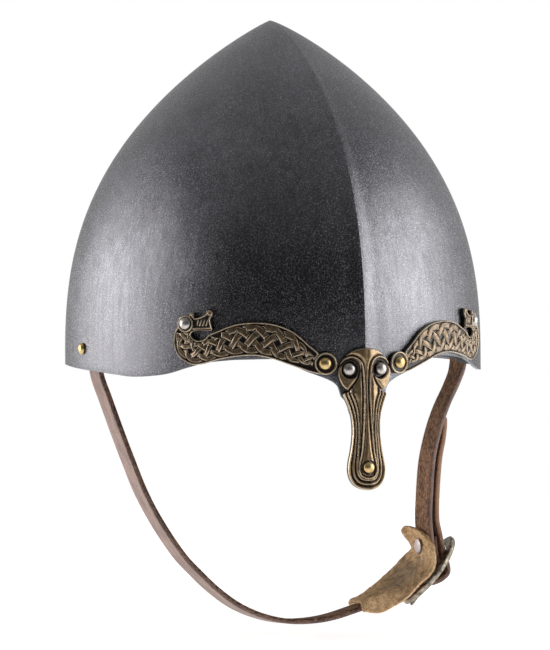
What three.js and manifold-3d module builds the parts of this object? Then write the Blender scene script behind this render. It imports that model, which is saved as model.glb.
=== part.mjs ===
// A nasal helmet: two pressed steel halves with a cast nose plate and cast brow ornaments,
// a leather liner and a leather chin strap with a buckle. Sizes are in millimetres. The front
// is -Y, the wearer's left is +X and up is +Z. The origin is the middle of the head opening,
// in the level of the rim.

import * as THREE from 'three';
import { mergeVertices } from 'three/addons/utils/BufferGeometryUtils.js';
import { TessellateModifier } from 'three/addons/modifiers/TessellateModifier.js';
import Module from 'manifold-3d';

const wasm = await Module();
wasm.setup();

// Driving dimensions of the skull
const skullHalfWidth = 100;
const skullHalfDepth = 117;
const skullHeight = 170.7;
const sheet = 1.6;
// Each half's plan is an arc whose middle lies this far across the mid-plane, which leaves a ridge.
const ridgeOffset = 16;
// The wall stands upright below this height.
const wallTop = 4.2;
// The inside of the point is this many times lower than the sheet is thick.
const pointDropRatio = 1.7;
const crownPower = 2.584;
const shoulderPower = 1.083;
const depthPower = 0.88;
const keelHeight = 1.1;
const keelHalfWidth = 7;
const browArchHeight = 9.2;

// Driving dimensions of the nose guard
const noseDrop = 47.4;
const noseLeanDepth = 2.2;
const noseLeanPower = 1.3;
const nosePlateHalfWidth = 12.2;
const nosePlateThickness = 2.2;
const noseRidgeHalfWidth = 1.2;
const noseRidgeRise = 1;
const steelNoseHalfWidth = 7.6;
const steelNoseDrop = 45.2;
const steelNoseTop = 12;

// Driving dimensions of the brow ornaments
const browThickness = 2.5;
const browRecess = 1;

// Driving dimensions of the liner
const leather = 1.8;
const linerSetbackHeight = 2.6;
const linerFloor = 0.6;
const linerTop = 31;
const linerSidePocket = 7.2;
const crownHeight = 124;
const tongueCount = 8;
const tongueBase = 25;
const tongueHalfWidth = 33;
const laceRadius = 1;
const laceWaveHeight = 7;

// Driving dimensions of the strap
const strapWidth = 16;
const strapThickness = 2.4;
const foldThickness = 1.4;
const strapTilt = THREE.MathUtils.degToRad(8);
const strapFallLength = 100;
const strapPocketGap = 2.4;
const pivotForward = 16;
const pivotHeight = 12;
const strapEndLength = 11;

// Driving dimensions of the buckle
// The buckle's middle and the fold's rivet: across the skull's half width, down the strap's fall
const buckleShares = [0.7, 1.115];
const foldRivetShares = [0.69, 0.997];
const buckleLean = THREE.MathUtils.degToRad(41.8);
const buckleHalfLength = 19;
const buckleHalfWidth = 12.5;
const rimRadius = 1.5;
const barRadius = 1.5;
const prongRadius = 1.1;
const swingGap = 1.9;
const padThickness = 1.6;
// The guard leans away from the strap under the rivet's head by this much.
const padSlopeDepth = 0.8;

// Clearances and fineness
const clearance = 0.3;
const linerGap = 0.5;
const plateFacet = 8.5;
const facetRounds = 8;
const rodSides = 12;
const weldDistance = 0.001;
const overrun = 6;
const probe = 0.5;

const skullSide = { right: -1, left: 1 };

const steel = material('steel', 0x3a3c40, 0.42, 1);
const agedBrass = material('aged_brass', 0x6e5a35, 0.4, 1);
const brightBrass = material('bright_brass', 0xb08d4a, 0.3, 1);
const silver = material('silver', 0xb9b5ae, 0.3, 1);
const darkLeather = material('dark_leather', 0x2b2522, 0.8, 0);
const strapLeather = material('strap_leather', 0x5a3c2e, 0.65, 0);
const suede = material('suede', 0xa07c50, 0.95, 0);

function material(name, color, roughness, metalness) {
  const finish = new THREE.MeshStandardMaterial({ color, roughness, metalness });
  finish.name = name;
  return finish;
}

// Meshes and solids

/** A closed mesh from loose corners: doubles merged, flat triangles dropped, faces outwards. */
function closedGeometry(corners) {
  const loose = new THREE.BufferGeometry();
  loose.setAttribute('position', new THREE.Float32BufferAttribute(corners, 3));
  const merged = mergeVertices(loose, weldDistance);
  const index = [];
  for (let i = 0; i < merged.index.count; i += 3) {
    const [a, b, c] = [0, 1, 2].map((k) => merged.index.getX(i + k));
    if (a !== b && b !== c && a !== c) index.push(a, b, c);
  }
  merged.setIndex(signedVolume(merged, index) < 0 ? index.reverse() : index);
  merged.computeVertexNormals();
  return merged;
}

function signedVolume(geometry, index) {
  const [a, b, c] = [new THREE.Vector3(), new THREE.Vector3(), new THREE.Vector3()];
  let volume = 0;
  for (let i = 0; i < index.length; i += 3) {
    a.fromBufferAttribute(geometry.attributes.position, index[i]);
    b.fromBufferAttribute(geometry.attributes.position, index[i + 1]);
    c.fromBufferAttribute(geometry.attributes.position, index[i + 2]);
    volume += a.dot(b.cross(c));
  }
  return volume;
}

/** Any three.js geometry as one closed mesh that holds positions only. */
function closedCopy(geometry) {
  const flat = geometry.index ? geometry.toNonIndexed() : geometry;
  return closedGeometry(Array.from(flat.attributes.position.array));
}

function toSolid(geometry) {
  const mesh = closedCopy(geometry);
  return new wasm.Manifold(new wasm.Mesh({
    numProp: 3,
    vertProperties: new Float32Array(mesh.attributes.position.array),
    triVerts: new Uint32Array(mesh.index.array),
  }));
}

function toGeometry(solid) {
  const mesh = solid.getMesh();
  const corners = [];
  for (const vertex of mesh.triVerts) {
    corners.push(...mesh.vertProperties.slice(vertex * mesh.numProp, vertex * mesh.numProp + 3));
  }
  return closedGeometry(corners);
}

function cut(geometry, ...tools) {
  return toGeometry(tools.reduce((body, tool) => body.subtract(toSolid(tool)), toSolid(geometry)));
}

function join(geometry, ...others) {
  return toGeometry(others.reduce((body, other) => body.add(toSolid(other)), toSolid(geometry)));
}

/**
 * A closed plate between two grids of points, outer and inner, each a list of rows. Cells that
 * present() leaves out stay open, and a looped grid joins its last column to its first.
 */
function plateBetween(outer, inner, { present = () => true, looped = false } = {}) {
  const rows = outer.length - 1;
  const columns = outer[0].length - (looped ? 0 : 1);
  const wrap = (column) => column % outer[0].length;
  const filled = (row, column) => {
    const around = looped ? (column + columns) % columns : column;
    if (row < 0 || row >= rows || around < 0 || around >= columns) return false;
    return present(row, around);
  };
  const corners = [];
  const quad = (...points) => {
    for (const k of [0, 1, 2, 0, 2, 3]) corners.push(...points[k].toArray());
  };
  for (let row = 0; row < rows; row += 1) {
    for (let column = 0; column < columns; column += 1) {
      if (!filled(row, column)) continue;
      const next = wrap(column + 1);
      const [a, b] = [outer[row][column], outer[row][next]];
      const [c, d] = [outer[row + 1][next], outer[row + 1][column]];
      const [e, f] = [inner[row][column], inner[row][next]];
      const [g, h] = [inner[row + 1][next], inner[row + 1][column]];
      quad(a, b, c, d);
      quad(h, g, f, e);
      if (!filled(row - 1, column)) quad(e, f, b, a);
      if (!filled(row + 1, column)) quad(d, c, g, h);
      if (!filled(row, column - 1)) quad(a, d, h, e);
      if (!filled(row, column + 1)) quad(f, g, c, b);
    }
  }
  return closedGeometry(corners);
}

function rod(radius, from, to, sides = rodSides) {
  const shape = new THREE.CylinderGeometry(radius, radius, from.distanceTo(to), sides);
  return placedBetween(shape, from, to);
}

/** Turns a shape that stands on +Y so that it runs between two points. */
function placedBetween(shape, from, to) {
  const along = to.clone().sub(from).normalize();
  const turn = new THREE.Quaternion().setFromUnitVectors(new THREE.Vector3(0, 1, 0), along);
  const middle = from.clone().add(to).multiplyScalar(1 / 2);
  return shape.applyQuaternion(turn).translate(middle.x, middle.y, middle.z);
}

function named(name, geometry, finish) {
  const mesh = new THREE.Mesh(geometry, finish);
  mesh.name = name;
  return mesh;
}

// The skull's surface

const frontEdge = Math.acos(ridgeOffset / (skullHalfWidth + ridgeOffset));
const depthArc = skullHalfDepth / Math.sin(frontEdge);
const halfGirth = frontEdge * (skullHalfWidth + ridgeOffset + depthArc);

/**
 * A point on or off the steel's outer face: how far along the rim from the front ridge, how
 * high, and how far out of the face it is grown.
 */
function skin(side, along, height, grow = 0) {
  const arc = skullHalfWidth + ridgeOffset + grow;
  const turn = Math.acos(ridgeOffset / arc) * ((2 * along) / halfGirth - 1);
  const top = skullHeight + pointDropRatio * grow;
  const rise = THREE.MathUtils.clamp((height - wallTop) / (top - wallTop), 0, 1);
  const narrow = (1 - rise ** crownPower) ** (1 / shoulderPower);
  const edge = Math.min(along, halfGirth - along) / keelHalfWidth;
  const keel = 1 + (keelHeight * (1 - THREE.MathUtils.smoothstep(edge, 0, 1))) / skullHalfDepth;
  const lean = noseLeanDepth * (Math.max(0, wallTop - height) / (noseDrop + wallTop)) ** noseLeanPower;
  const onRidge = along <= 0 || along >= halfGirth;
  return new THREE.Vector3(
    onRidge ? 0 : side * (arc * Math.cos(turn) - ridgeOffset) * narrow * keel,
    (depthArc + grow) * Math.sin(turn) * narrow ** depthPower * keel - lean,
    height,
  );
}

/** The outward direction of the steel at a place. */
function outward(side, along, height) {
  const [from, to] = [along - probe, along + probe].map((place) => skin(side, place, height));
  const [low, high] = [height - probe, height + probe].map((level) => skin(side, along, level));
  const normal = to.sub(from).cross(high.sub(low)).normalize();
  return normal.multiplyScalar(side);
}

// The rim's line: along the rim in shares of half the girth, height in shares of the brow arch
const rimShares = [
  [0.031, -0.79], [0.0358, -0.29], [0.0447, -0.04], [0.0596, 0.185], [0.0745, 0.38],
  [0.0894, 0.61], [0.104, 0.815], [0.119, 1], [0.149, 0.99], [0.179, 0.91], [0.209, 0.79],
  [0.238, 0.54], [0.268, 0.24], [0.298, 0.1], [0.33, 0.04], [0.37, 0.12], [0.41, 0.2],
  [0.45, 0.25], [0.49, 0.3], [0.53, 0.34], [0.57, 0.35], [0.61, 0.33], [0.65, 0.3],
  [0.69, 0.26], [0.73, 0.22], [0.77, 0.18], [0.81, 0.14], [0.85, 0.1], [0.89, 0.07],
  [0.93, 0.04], [0.965, 0.02], [1, 0],
];

function rimHeight(along) {
  const share = along / halfGirth;
  const after = rimShares.findIndex(([place]) => place >= share);
  if (after <= 0) return rimShares[0][1] * browArchHeight;
  const [[x0, y0], [x1, y1]] = [rimShares[after - 1], rimShares[after]];
  return browArchHeight * (y0 + ((y1 - y0) * (share - x0)) / (x1 - x0));
}

// The steel nose guard: half width and height in shares of its half width and its drop
const steelNoseShares = [
  [0.3, -1], [0.66, -0.94], [0.84, -0.84], [0.74, -0.66], [0.68, -0.46], [0.84, -0.35],
];
const noseColumnShares = [0, 0.34, 0.67, 1];
// The rows of the dome, in shares of the way from the rim to the point
const domeRowShares = [0, 0.08, 0.17, 0.27, 0.38, 0.49, 0.6, 0.7, 0.8, 0.88, 0.945, 0.985, 1];

function skullHalf(side) {
  const noseRows = steelNoseShares.length;
  const places = [
    ...noseColumnShares.map((share) => [share * steelNoseHalfWidth, -steelNoseTop]),
    ...rimShares.map(([along, height]) => [along * halfGirth, height * browArchHeight]),
  ];
  const grid = (grow) => {
    const top = skullHeight + pointDropRatio * grow;
    const nose = steelNoseShares.map(([width, drop]) => places.map((_, column) => {
      const share = noseColumnShares[Math.min(column, noseColumnShares.length - 1)];
      return skin(side, share * width * steelNoseHalfWidth, drop * steelNoseDrop, grow);
    }));
    const dome = domeRowShares.map((share) => places.map(([along, rim]) => {
      const point = skin(side, along, rim + (top - rim) * share, grow);
      return share === 1 ? new THREE.Vector3(0, 0, top) : point;
    }));
    return [...nose, ...dome];
  };
  const present = (row, column) => row >= noseRows || column < noseColumnShares.length - 1;
  return plateBetween(grid(0), grid(-sheet), { present });
}

// Rivets: each a domed head, a shank through the stack, and an upset tail

const rivetStyles = {
  eye: { head: 2.5, dome: 1.7, shank: 1.2, tail: 2.1, tailRise: 0.9 },
  tip: { head: 2.2, dome: 1.5, shank: 1.1, tail: 1.9, tailRise: 0.8 },
  boss: { head: 2.7, dome: 1.8, shank: 1.3, tail: 2.3, tailRise: 0.9 },
  side: { head: 2.8, dome: 1.9, shank: 1.5, tail: 2.6, tailRise: 1 },
  back: { head: 2.8, dome: 1.9, shank: 1.3, tail: 2.4, tailRise: 0.9 },
  fold: { head: 3.2, dome: 0.8, shank: 1.1, tail: 2.3, tailRise: 0.7 },
};
const rivetSides = 10;
const domeStepShares = [1, 0.75, 0.3];

/** A rivet standing on +Y: its head starts at `seat`, its tail ends the stack at `-depth`. */
function rivetShape(style, seat, depth) {
  const { head, dome, shank, tail, tailRise } = rivetStyles[style];
  const profile = [
    new THREE.Vector2(0, seat + dome),
    ...domeStepShares.slice().reverse().map((share) => (
      new THREE.Vector2(head * Math.sqrt(1 - (1 - share) ** 2), seat + dome * (1 - share))
    )),
    new THREE.Vector2(shank, seat),
    new THREE.Vector2(shank, -depth),
    new THREE.Vector2(tail, -depth),
    new THREE.Vector2(tail - tailRise / 2, -depth - tailRise),
    new THREE.Vector2(0, -depth - tailRise),
  ];
  return closedCopy(new THREE.LatheGeometry(profile.reverse(), rivetSides));
}

/** Puts a shape that stands on +Y at a place, with +Y along a direction. */
function seated(shape, place, direction) {
  const turn = new THREE.Quaternion().setFromUnitVectors(new THREE.Vector3(0, 1, 0), direction);
  return shape.applyQuaternion(turn).translate(place.x, place.y, place.z);
}

function holeAt(place, direction, style) {
  const reach = direction.clone().multiplyScalar(overrun + browThickness);
  const radius = rivetStyles[style].shank + clearance;
  return rod(radius, place.clone().sub(reach), place.clone().add(reach), rivetSides);
}

// Places as shares of the skull's half width: along the rim, then height
const linerBackShare = 0.8647;
const rivetPlaces = {
  nasal_eye: { shares: [0.073, 0.046], style: 'eye', finish: silver, over: nosePlateThickness },
  brow_boss: { shares: [0.175, 0.071], style: 'boss', finish: brightBrass, over: browThickness },
  dragon_eye: { shares: [0.796, 0.242], style: 'eye', finish: silver, over: browThickness },
  liner_back: {
    shares: [(linerBackShare * halfGirth) / skullHalfWidth, 0.14],
    style: 'back',
    finish: brightBrass,
    over: 0,
  },
};
const tipDrop = 37.6;

function rivetSpot(kind, side) {
  const [along, height] = rivetPlaces[kind].shares.map((share) => share * skullHalfWidth);
  return {
    place: skin(side, along, height),
    direction: outward(side, along, height),
    along,
    height,
  };
}

const ridgeDirection = new THREE.Vector3(0, -1, 0);
const tipPlace = skin(skullSide.left, 0, -tipDrop);

// The strap rivets lie on the strap's swing axis, which runs from side to side
const pivotAlong = halfGirth / 2 - Math.asin(pivotForward / depthArc) * halfGirth / (2 * frontEdge);
const wallAcross = skin(1, pivotAlong, pivotHeight).x;
const pivotSpot = (side) => new THREE.Vector3(side * wallAcross, -pivotForward, pivotHeight);
const sideDirection = (side) => new THREE.Vector3(side, 0, 0);

function skullHoles(side) {
  const holes = Object.entries(rivetPlaces).map(([kind, { style }]) => {
    const { place, direction } = rivetSpot(kind, side);
    return holeAt(place, direction, style);
  });
  holes.push(holeAt(tipPlace, ridgeDirection, 'tip'));
  holes.push(holeAt(pivotSpot(side), sideDirection(side), 'side'));
  return holes;
}

// The brow ornament's outline and its sunk panel: along the rim and height, as shares of the
// skull's half width
const browTopShares = [
  [0.205, 0.112], [0.25, 0.155], [0.3, 0.2], [0.35, 0.227], [0.4, 0.242], [0.45, 0.248],
  [0.5, 0.248], [0.55, 0.243], [0.6, 0.229], [0.65, 0.209], [0.686, 0.194],
];
const dragonHeadShares = [
  [0.7, 0.179], [0.73, 0.17], [0.756, 0.178], [0.768, 0.196], [0.756, 0.208], [0.72, 0.213],
  [0.686, 0.211], [0.668, 0.213], [0.669, 0.226], [0.678, 0.26], [0.668, 0.278],
  [0.667, 0.292], [0.679, 0.302], [0.694, 0.298], [0.7, 0.284], [0.735, 0.269],
  [0.753, 0.268], [0.755, 0.284], [0.763, 0.292], [0.775, 0.286],
];
const browBottomShares = [
  [0.846, 0.21], [0.853, 0.175], [0.847, 0.135], [0.828, 0.102], [0.8, 0.08], [0.765, 0.066],
  [0.72, 0.07], [0.68, 0.082], [0.64, 0.094], [0.58, 0.106], [0.52, 0.113], [0.46, 0.112],
  [0.4, 0.098], [0.34, 0.076], [0.28, 0.053], [0.23, 0.034],
];
const browPanelShares = [
  [0.235, 0.09], [0.27, 0.14], [0.31, 0.18], [0.36, 0.208], [0.41, 0.223], [0.46, 0.229],
  [0.52, 0.228], [0.58, 0.214], [0.63, 0.194], [0.675, 0.174], [0.7, 0.16], [0.74, 0.153],
  [0.77, 0.16], [0.79, 0.188], [0.827, 0.192], [0.832, 0.16], [0.82, 0.122], [0.79, 0.097],
  [0.75, 0.084], [0.7, 0.094], [0.64, 0.112], [0.58, 0.123], [0.52, 0.13], [0.46, 0.129],
  [0.4, 0.116], [0.34, 0.096], [0.28, 0.073],
];
const bossRingRadius = 4.9;
const eyeRingRadius = 3.9;
const bossArcDegrees = [-95, -325];
const eyeArcDegrees = [115, -15];
const arcSteps = 7;

const onSkull = (shares) => shares.map(([x, y]) => (
  new THREE.Vector2(x * skullHalfWidth, y * skullHalfWidth)
));

function arcPoints({ along, height }, radius, [from, to]) {
  return Array.from({ length: arcSteps }, (_, step) => {
    const angle = THREE.MathUtils.degToRad(from + ((to - from) * step) / (arcSteps - 1));
    return new THREE.Vector2(along + radius * Math.cos(angle), height + radius * Math.sin(angle));
  });
}

/** A flat outline made solid, from one level above the steel to another. */
function slab(outline, from, to) {
  const shape = new THREE.Shape(outline);
  const body = new THREE.ExtrudeGeometry(shape, { depth: to - from, bevelEnabled: false });
  return body.translate(0, 0, from);
}

/** Lays a flat plate, drawn as along, height and level, on the skull's surface. */
function layOnSkull(flat, side) {
  const fine = new TessellateModifier(plateFacet, facetRounds).modify(flat.toNonIndexed());
  const spots = fine.attributes.position;
  const corners = [];
  for (let i = 0; i < spots.count; i += 1) {
    corners.push(...skin(side, spots.getX(i), spots.getY(i), spots.getZ(i)).toArray());
  }
  return corners;
}

function browOrnament(side) {
  const boss = rivetSpot('brow_boss', side);
  const eye = rivetSpot('dragon_eye', side);
  const outline = [
    ...arcPoints(boss, bossRingRadius, bossArcDegrees),
    ...onSkull(browTopShares),
    ...onSkull(dragonHeadShares),
    ...arcPoints(eye, eyeRingRadius, eyeArcDegrees),
    ...onSkull(browBottomShares),
  ];
  const top = clearance + browThickness;
  const flat = cut(
    slab(outline, clearance, top),
    slab(onSkull(browPanelShares), top - browRecess, top + browRecess),
  );
  const plate = closedGeometry(layOnSkull(flat, side));
  return cut(
    plate,
    holeAt(boss.place, boss.direction, 'boss'),
    holeAt(eye.place, eye.direction, 'eye'),
  );
}

// The nose plate's half outline, in shares of its half width and of its drop below the rim
const nosePlateShares = [
  [0, 0.291], [0.35, 0.277], [0.66, 0.234], [0.87, 0.174], [0.987, 0.106], [0.987, 0.032],
  [0.89, -0.034], [0.76, -0.077], [0.65, -0.098], [0.838, -0.13], [0.755, -0.19],
  [0.64, -0.266], [0.565, -0.34], [0.533, -0.425], [0.545, -0.53], [0.625, -0.66],
  [0.705, -0.755], [0.725, -0.83], [0.66, -0.904], [0.485, -0.964], [0.255, -0.991], [0, -1],
];
const noseRidgeShares = [0.255, -0.7];

function nosePlate() {
  const outline = nosePlateShares.map(([x, y]) => (
    new THREE.Vector2(x * nosePlateHalfWidth, y * noseDrop)
  ));
  const top = clearance + nosePlateThickness;
  const [ridgeTop, ridgeBottom] = noseRidgeShares.map((share) => share * noseDrop);
  const ridge = [
    new THREE.Vector2(0, ridgeBottom),
    new THREE.Vector2(noseRidgeHalfWidth, ridgeBottom + noseRidgeHalfWidth),
    new THREE.Vector2(noseRidgeHalfWidth, ridgeTop - noseRidgeHalfWidth),
    new THREE.Vector2(0, ridgeTop),
  ];
  const half = join(slab(outline, clearance, top), slab(ridge, clearance, top + noseRidgeRise));
  const open = withoutMidFaces(half);
  const plate = closedGeometry([...layOnSkull(open, 1), ...mirrored(layOnSkull(open, 1))]);
  const tools = [skullSide.right, skullSide.left].map((side) => {
    const { place, direction } = rivetSpot('nasal_eye', side);
    return holeAt(place, direction, 'eye');
  });
  return cut(plate, ...tools, holeAt(tipPlace, ridgeDirection, 'tip'));
}

/** The geometry without its triangles in the mid-plane, where its mirror image joins on. */
function withoutMidFaces(geometry) {
  const flat = geometry.toNonIndexed();
  const spots = flat.attributes.position;
  const corners = [];
  for (let i = 0; i < spots.count; i += 3) {
    const onMid = [0, 1, 2].every((k) => Math.abs(spots.getX(i + k)) < weldDistance);
    if (onMid) continue;
    for (let k = 0; k < 3; k += 1) {
      corners.push(spots.getX(i + k), spots.getY(i + k), spots.getZ(i + k));
    }
  }
  const open = new THREE.BufferGeometry();
  open.setAttribute('position', new THREE.Float32BufferAttribute(corners, 3));
  open.setIndex(corners.filter((_, k) => k % 3 === 0).map((_, k) => k));
  return open;
}

function mirrored(corners) {
  const image = [];
  for (let i = 0; i < corners.length; i += 9) {
    for (const k of [0, 6, 3]) image.push(-corners[i + k], corners[i + k + 1], corners[i + k + 2]);
  }
  return image;
}

// The liner: a head band riveted inside the rim, and tongues laced together under the crown

// How far the band stands off the steel at the sides, over places in shares of half the girth
const pocketStartShares = [0.29, 0.38];
const pocketEndShares = [0.53, 0.66];
const bandColumns = 52;
const bandRowShares = [0, 0.5, 1];

function standOff(along) {
  const share = along / halfGirth;
  const open = THREE.MathUtils.smoothstep(share, ...pocketStartShares)
    - THREE.MathUtils.smoothstep(share, ...pocketEndShares);
  return linerGap + (linerSidePocket - linerGap) * open;
}

const bandBottom = (along) => Math.max(rimHeight(along) + linerSetbackHeight, linerFloor);

/** Around the head, 0 to 1 from the front ridge past the wearer's left, as side and along. */
function aroundHead(turn) {
  const whole = ((turn % 1) + 1) % 1;
  const along = (whole < 0.5 ? whole : 1 - whole) * 2 * halfGirth;
  return { side: whole < 0.5 ? skullSide.left : skullSide.right, along };
}

function linerBand() {
  const grid = (depth) => bandRowShares.map((share) => (
    Array.from({ length: bandColumns }, (_, column) => {
      const { side, along } = aroundHead(column / bandColumns);
      const low = bandBottom(along);
      return skin(side, along, low + (linerTop - low) * share, -sheet - standOff(along) - depth);
    })
  ));
  const band = plateBetween(grid(0), grid(leather), { looped: true });
  const holes = [skullSide.right, skullSide.left].flatMap((side) => [
    ...Object.entries(rivetPlaces).map(([kind, { style }]) => {
      const { place, direction } = rivetSpot(kind, side);
      return holeAt(place, direction, style);
    }),
    holeAt(pivotSpot(side), sideDirection(side), 'side'),
    rod(
      rivetStyles.side.shank + clearance,
      new THREE.Vector3(side * wallAcross, -pivotForward, pivotHeight),
      new THREE.Vector3(side * (wallAcross - linerSidePocket - overrun), -pivotForward, pivotHeight),
    ),
  ]);
  return cut(band, ...holes);
}

// The tongues: width in shares of the tongue's half width, row by row from the band up
const tongueWidthShares = [1, 0.98, 0.88, 0.72, 0.52, 0.34, 0.24];
const tongueColumnShares = [-1, -0.6, -0.2, 0.2, 0.6, 1];
const crownSweep = THREE.MathUtils.degToRad(78);
const laceSweep = THREE.MathUtils.degToRad(73);
const laceHoleRadius = 3.5;
const tongueOffset = leather + 2 * clearance;

/** A point of the liner's dome: around the head, and up from the band by an angle. */
function linerDome(turn, sweep, depth) {
  const { side, along } = aroundHead(turn);
  const foot = skin(side, along, tongueBase, -sheet - standOff(along) - tongueOffset - depth);
  const reach = Math.cos(sweep);
  const rise = (crownHeight - depth - tongueBase) * Math.sin(sweep);
  return new THREE.Vector3(foot.x * reach, foot.y * reach, tongueBase + rise);
}

function linerTongue(number) {
  const middle = (number + 0.5) / tongueCount;
  const halfTurn = tongueHalfWidth / (2 * halfGirth);
  const rows = tongueWidthShares.length;
  const grid = (depth) => tongueWidthShares.map((width, row) => {
    const sweep = (crownSweep * row) / (rows - 1);
    const spread = width / Math.max(Math.cos(sweep), width / 2);
    return tongueColumnShares.map((share) => (
      linerDome(middle + share * halfTurn * spread, sweep, depth)
    ));
  });
  const hole = linerDome(middle, laceSweep, leather / 2);
  const reach = new THREE.Vector3(0, 0, overrun);
  return cut(
    plateBetween(grid(0), grid(leather)),
    rod(laceHoleRadius, hole.clone().sub(reach), hole.clone().add(reach)),
  );
}

const laceSteps = 48;
const laceSides = 6;

function crownLace() {
  const points = Array.from({ length: laceSteps }, (_, step) => {
    const turn = step / laceSteps;
    const point = linerDome(turn, laceSweep, leather / 2);
    const wave = Math.sin(Math.PI * (turn * tongueCount - 0.5));
    return point.add(new THREE.Vector3(0, 0, laceWaveHeight * wave));
  });
  return ringTube(points, laceRadius, laceSides, new THREE.Vector3(0, 0, 1));
}

/** A looped tube along points; `up` is never parallel to the path. */
function ringTube(points, radius, sides, up, flatness = 1) {
  const count = points.length;
  const rings = points.map((point, i) => {
    const tangent = points[(i + 1) % count].clone().sub(points[(i + count - 1) % count]).normalize();
    const outwards = new THREE.Vector3().crossVectors(tangent, up).normalize();
    const lift = new THREE.Vector3().crossVectors(outwards, tangent);
    return Array.from({ length: sides }, (_, k) => {
      const angle = (2 * Math.PI * k) / sides;
      return point.clone()
        .addScaledVector(outwards, radius * Math.cos(angle))
        .addScaledVector(lift, radius * flatness * Math.sin(angle));
    });
  });
  const corners = [];
  for (let i = 0; i < count; i += 1) {
    const [here, there] = [rings[i], rings[(i + 1) % count]];
    for (let k = 0; k < sides; k += 1) {
      const next = (k + 1) % sides;
      for (const point of [here[k], here[next], there[next], here[k], there[next], there[k]]) {
        corners.push(...point.toArray());
      }
    }
  }
  return closedGeometry(corners);
}

// The chin strap, drawn in its own plane: across from the mid-plane, and fall below the rivets

const strapAcross = wallAcross - sheet - strapPocketGap - strapThickness / 2;
const buckleUp = new THREE.Vector2(Math.sin(buckleLean), -Math.cos(buckleLean));
const buckleOut = new THREE.Vector2(Math.cos(buckleLean), Math.sin(buckleLean));
const buckleMiddle = new THREE.Vector2(
  buckleShares[0] * skullHalfWidth,
  buckleShares[1] * strapFallLength,
);
const foldRivetAcross = foldRivetShares[0] * skullHalfWidth;
const foldRivetFall = foldRivetShares[1] * strapFallLength;
const foldMiddle = barRadius + clearance + foldThickness / 2;

/** A point near the buckle: up its length and out of its plane. */
function atBuckle(up, out) {
  return buckleMiddle.clone().addScaledVector(buckleUp, up).addScaledVector(buckleOut, out);
}

const spread = (shares) => shares.map(([across, fall]) => (
  new THREE.Vector2(across * skullHalfWidth, fall * strapFallLength)
));

// Across in shares of the skull's half width, fall in shares of the strap's fall
const longStrapShares = [
  [-0.923, 0.14], [-0.894, 0.23], [-0.845, 0.38], [-0.794, 0.53], [-0.739, 0.68],
  [-0.663, 0.83], [-0.564, 0.984], [-0.494, 1.062], [-0.415, 1.141], [-0.31, 1.222],
  [-0.2, 1.276], [-0.08, 1.309], [0.04, 1.318], [0.16, 1.308], [0.29, 1.278], [0.42, 1.245],
];
const tailShares = [
  [0.736, 0.935], [0.727, 0.88], [0.731, 0.8], [0.742, 0.706], [0.767, 0.56], [0.795, 0.465],
  [0.82, 0.4], [0.833, 0.365],
];
const shortStrapShares = [
  [0.922, 0.13], [0.884, 0.21], [0.824, 0.314], [0.772, 0.432], [0.726, 0.58], [0.7, 0.75],
  [0.688, 0.87],
];
// Inside the low rim, up to where the oval's sides leave it room to come out over the bar
const crossingShares = [0.85, 0.7];
const risingLength = 5;
const risingHeight = 3.2;
const overBarHeight = 5.7;
const tailGap = 5.6;

const strapHead = (side) => [-1, -0.3, 0.4].map((share) => (
  new THREE.Vector2(side * strapAcross, share * strapEndLength)
));

function longStrapRoute() {
  const inside = -(rimRadius + swingGap + strapThickness / 2);
  return [
    ...strapHead(skullSide.right),
    ...spread(longStrapShares),
    atBuckle(-buckleHalfLength, inside),
    ...crossingShares.map((share) => atBuckle(-share * buckleHalfLength, inside)),
    atBuckle(-risingLength, risingHeight),
    atBuckle(0, overBarHeight),
    atBuckle(barRadius + strapThickness, overBarHeight),
    new THREE.Vector2(foldRivetAcross + tailGap + clearance, foldRivetFall + strapThickness),
    ...spread(tailShares),
  ];
}

const foldOuter = foldRivetAcross + (strapThickness + foldThickness) / 2 + clearance;

function shortStrapRoute() {
  const halfway = foldMiddle * Math.SQRT1_2;
  return [
    ...strapHead(skullSide.left),
    ...spread(shortStrapShares),
    new THREE.Vector2(foldRivetAcross, foldRivetFall),
    new THREE.Vector2(foldRivetAcross - strapThickness / 4, foldRivetFall + 2 * strapThickness),
    atBuckle(0, -foldMiddle),
    atBuckle(-halfway, -halfway),
    atBuckle(-foldMiddle, 0),
    atBuckle(-halfway, halfway),
    atBuckle(0, foldMiddle),
    atBuckle(foldMiddle, halfway),
    new THREE.Vector2(foldOuter + clearance, foldRivetFall + 2 * strapThickness),
    new THREE.Vector2(foldOuter, foldRivetFall),
    new THREE.Vector2(foldOuter, foldRivetFall - 2 * strapThickness),
  ];
}

/**
 * A flat strap along a route. Its thickness and its width may change along it: both come as
 * functions of the share of the route's points passed.
 */
function strapSolid(route, thicknessAt, widthAt) {
  const steps = stepsPerPoint * (route.length - 1);
  const path = new THREE.CatmullRomCurve3(route.map(({ x, y }) => new THREE.Vector3(x, 0, -y)));
  const faces = [1, -1].map((face) => [-1, 1].map((edge) => (
    Array.from({ length: steps + 1 }, (_, step) => {
      const share = step / steps;
      const tangent = path.getTangent(share);
      const normal = new THREE.Vector3(-tangent.z, 0, tangent.x);
      return path.getPoint(share)
        .addScaledVector(normal, (face * thicknessAt(share)) / 2)
        .add(new THREE.Vector3(0, (edge * widthAt(share)) / 2, 0));
    })
  )));
  return plateBetween(faces[0], faces[1]);
}

const taper = (share, from, to, start, end) => (
  start + (end - start) * THREE.MathUtils.smoothstep(share, from, to)
);
const strapPoint = ({ x, y }, sideways = 0) => new THREE.Vector3(x, sideways, -y);
const longEndShare = 0.02;
const tipShare = 0.07;
const shortEndShare = 0.035;
const stepsPerPoint = 2;
const skiveShares = [0.515, 0.58];
const tipWidthShare = 0.3;
const prongSlotBottomDepth = 10.5;
const prongSlotTopDepth = 0.5;
const prongSlotHalfWidth = 1.7;
const punchRadius = 1.8;
const punchShares = [0.25, 0.45, 0.65];

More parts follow.
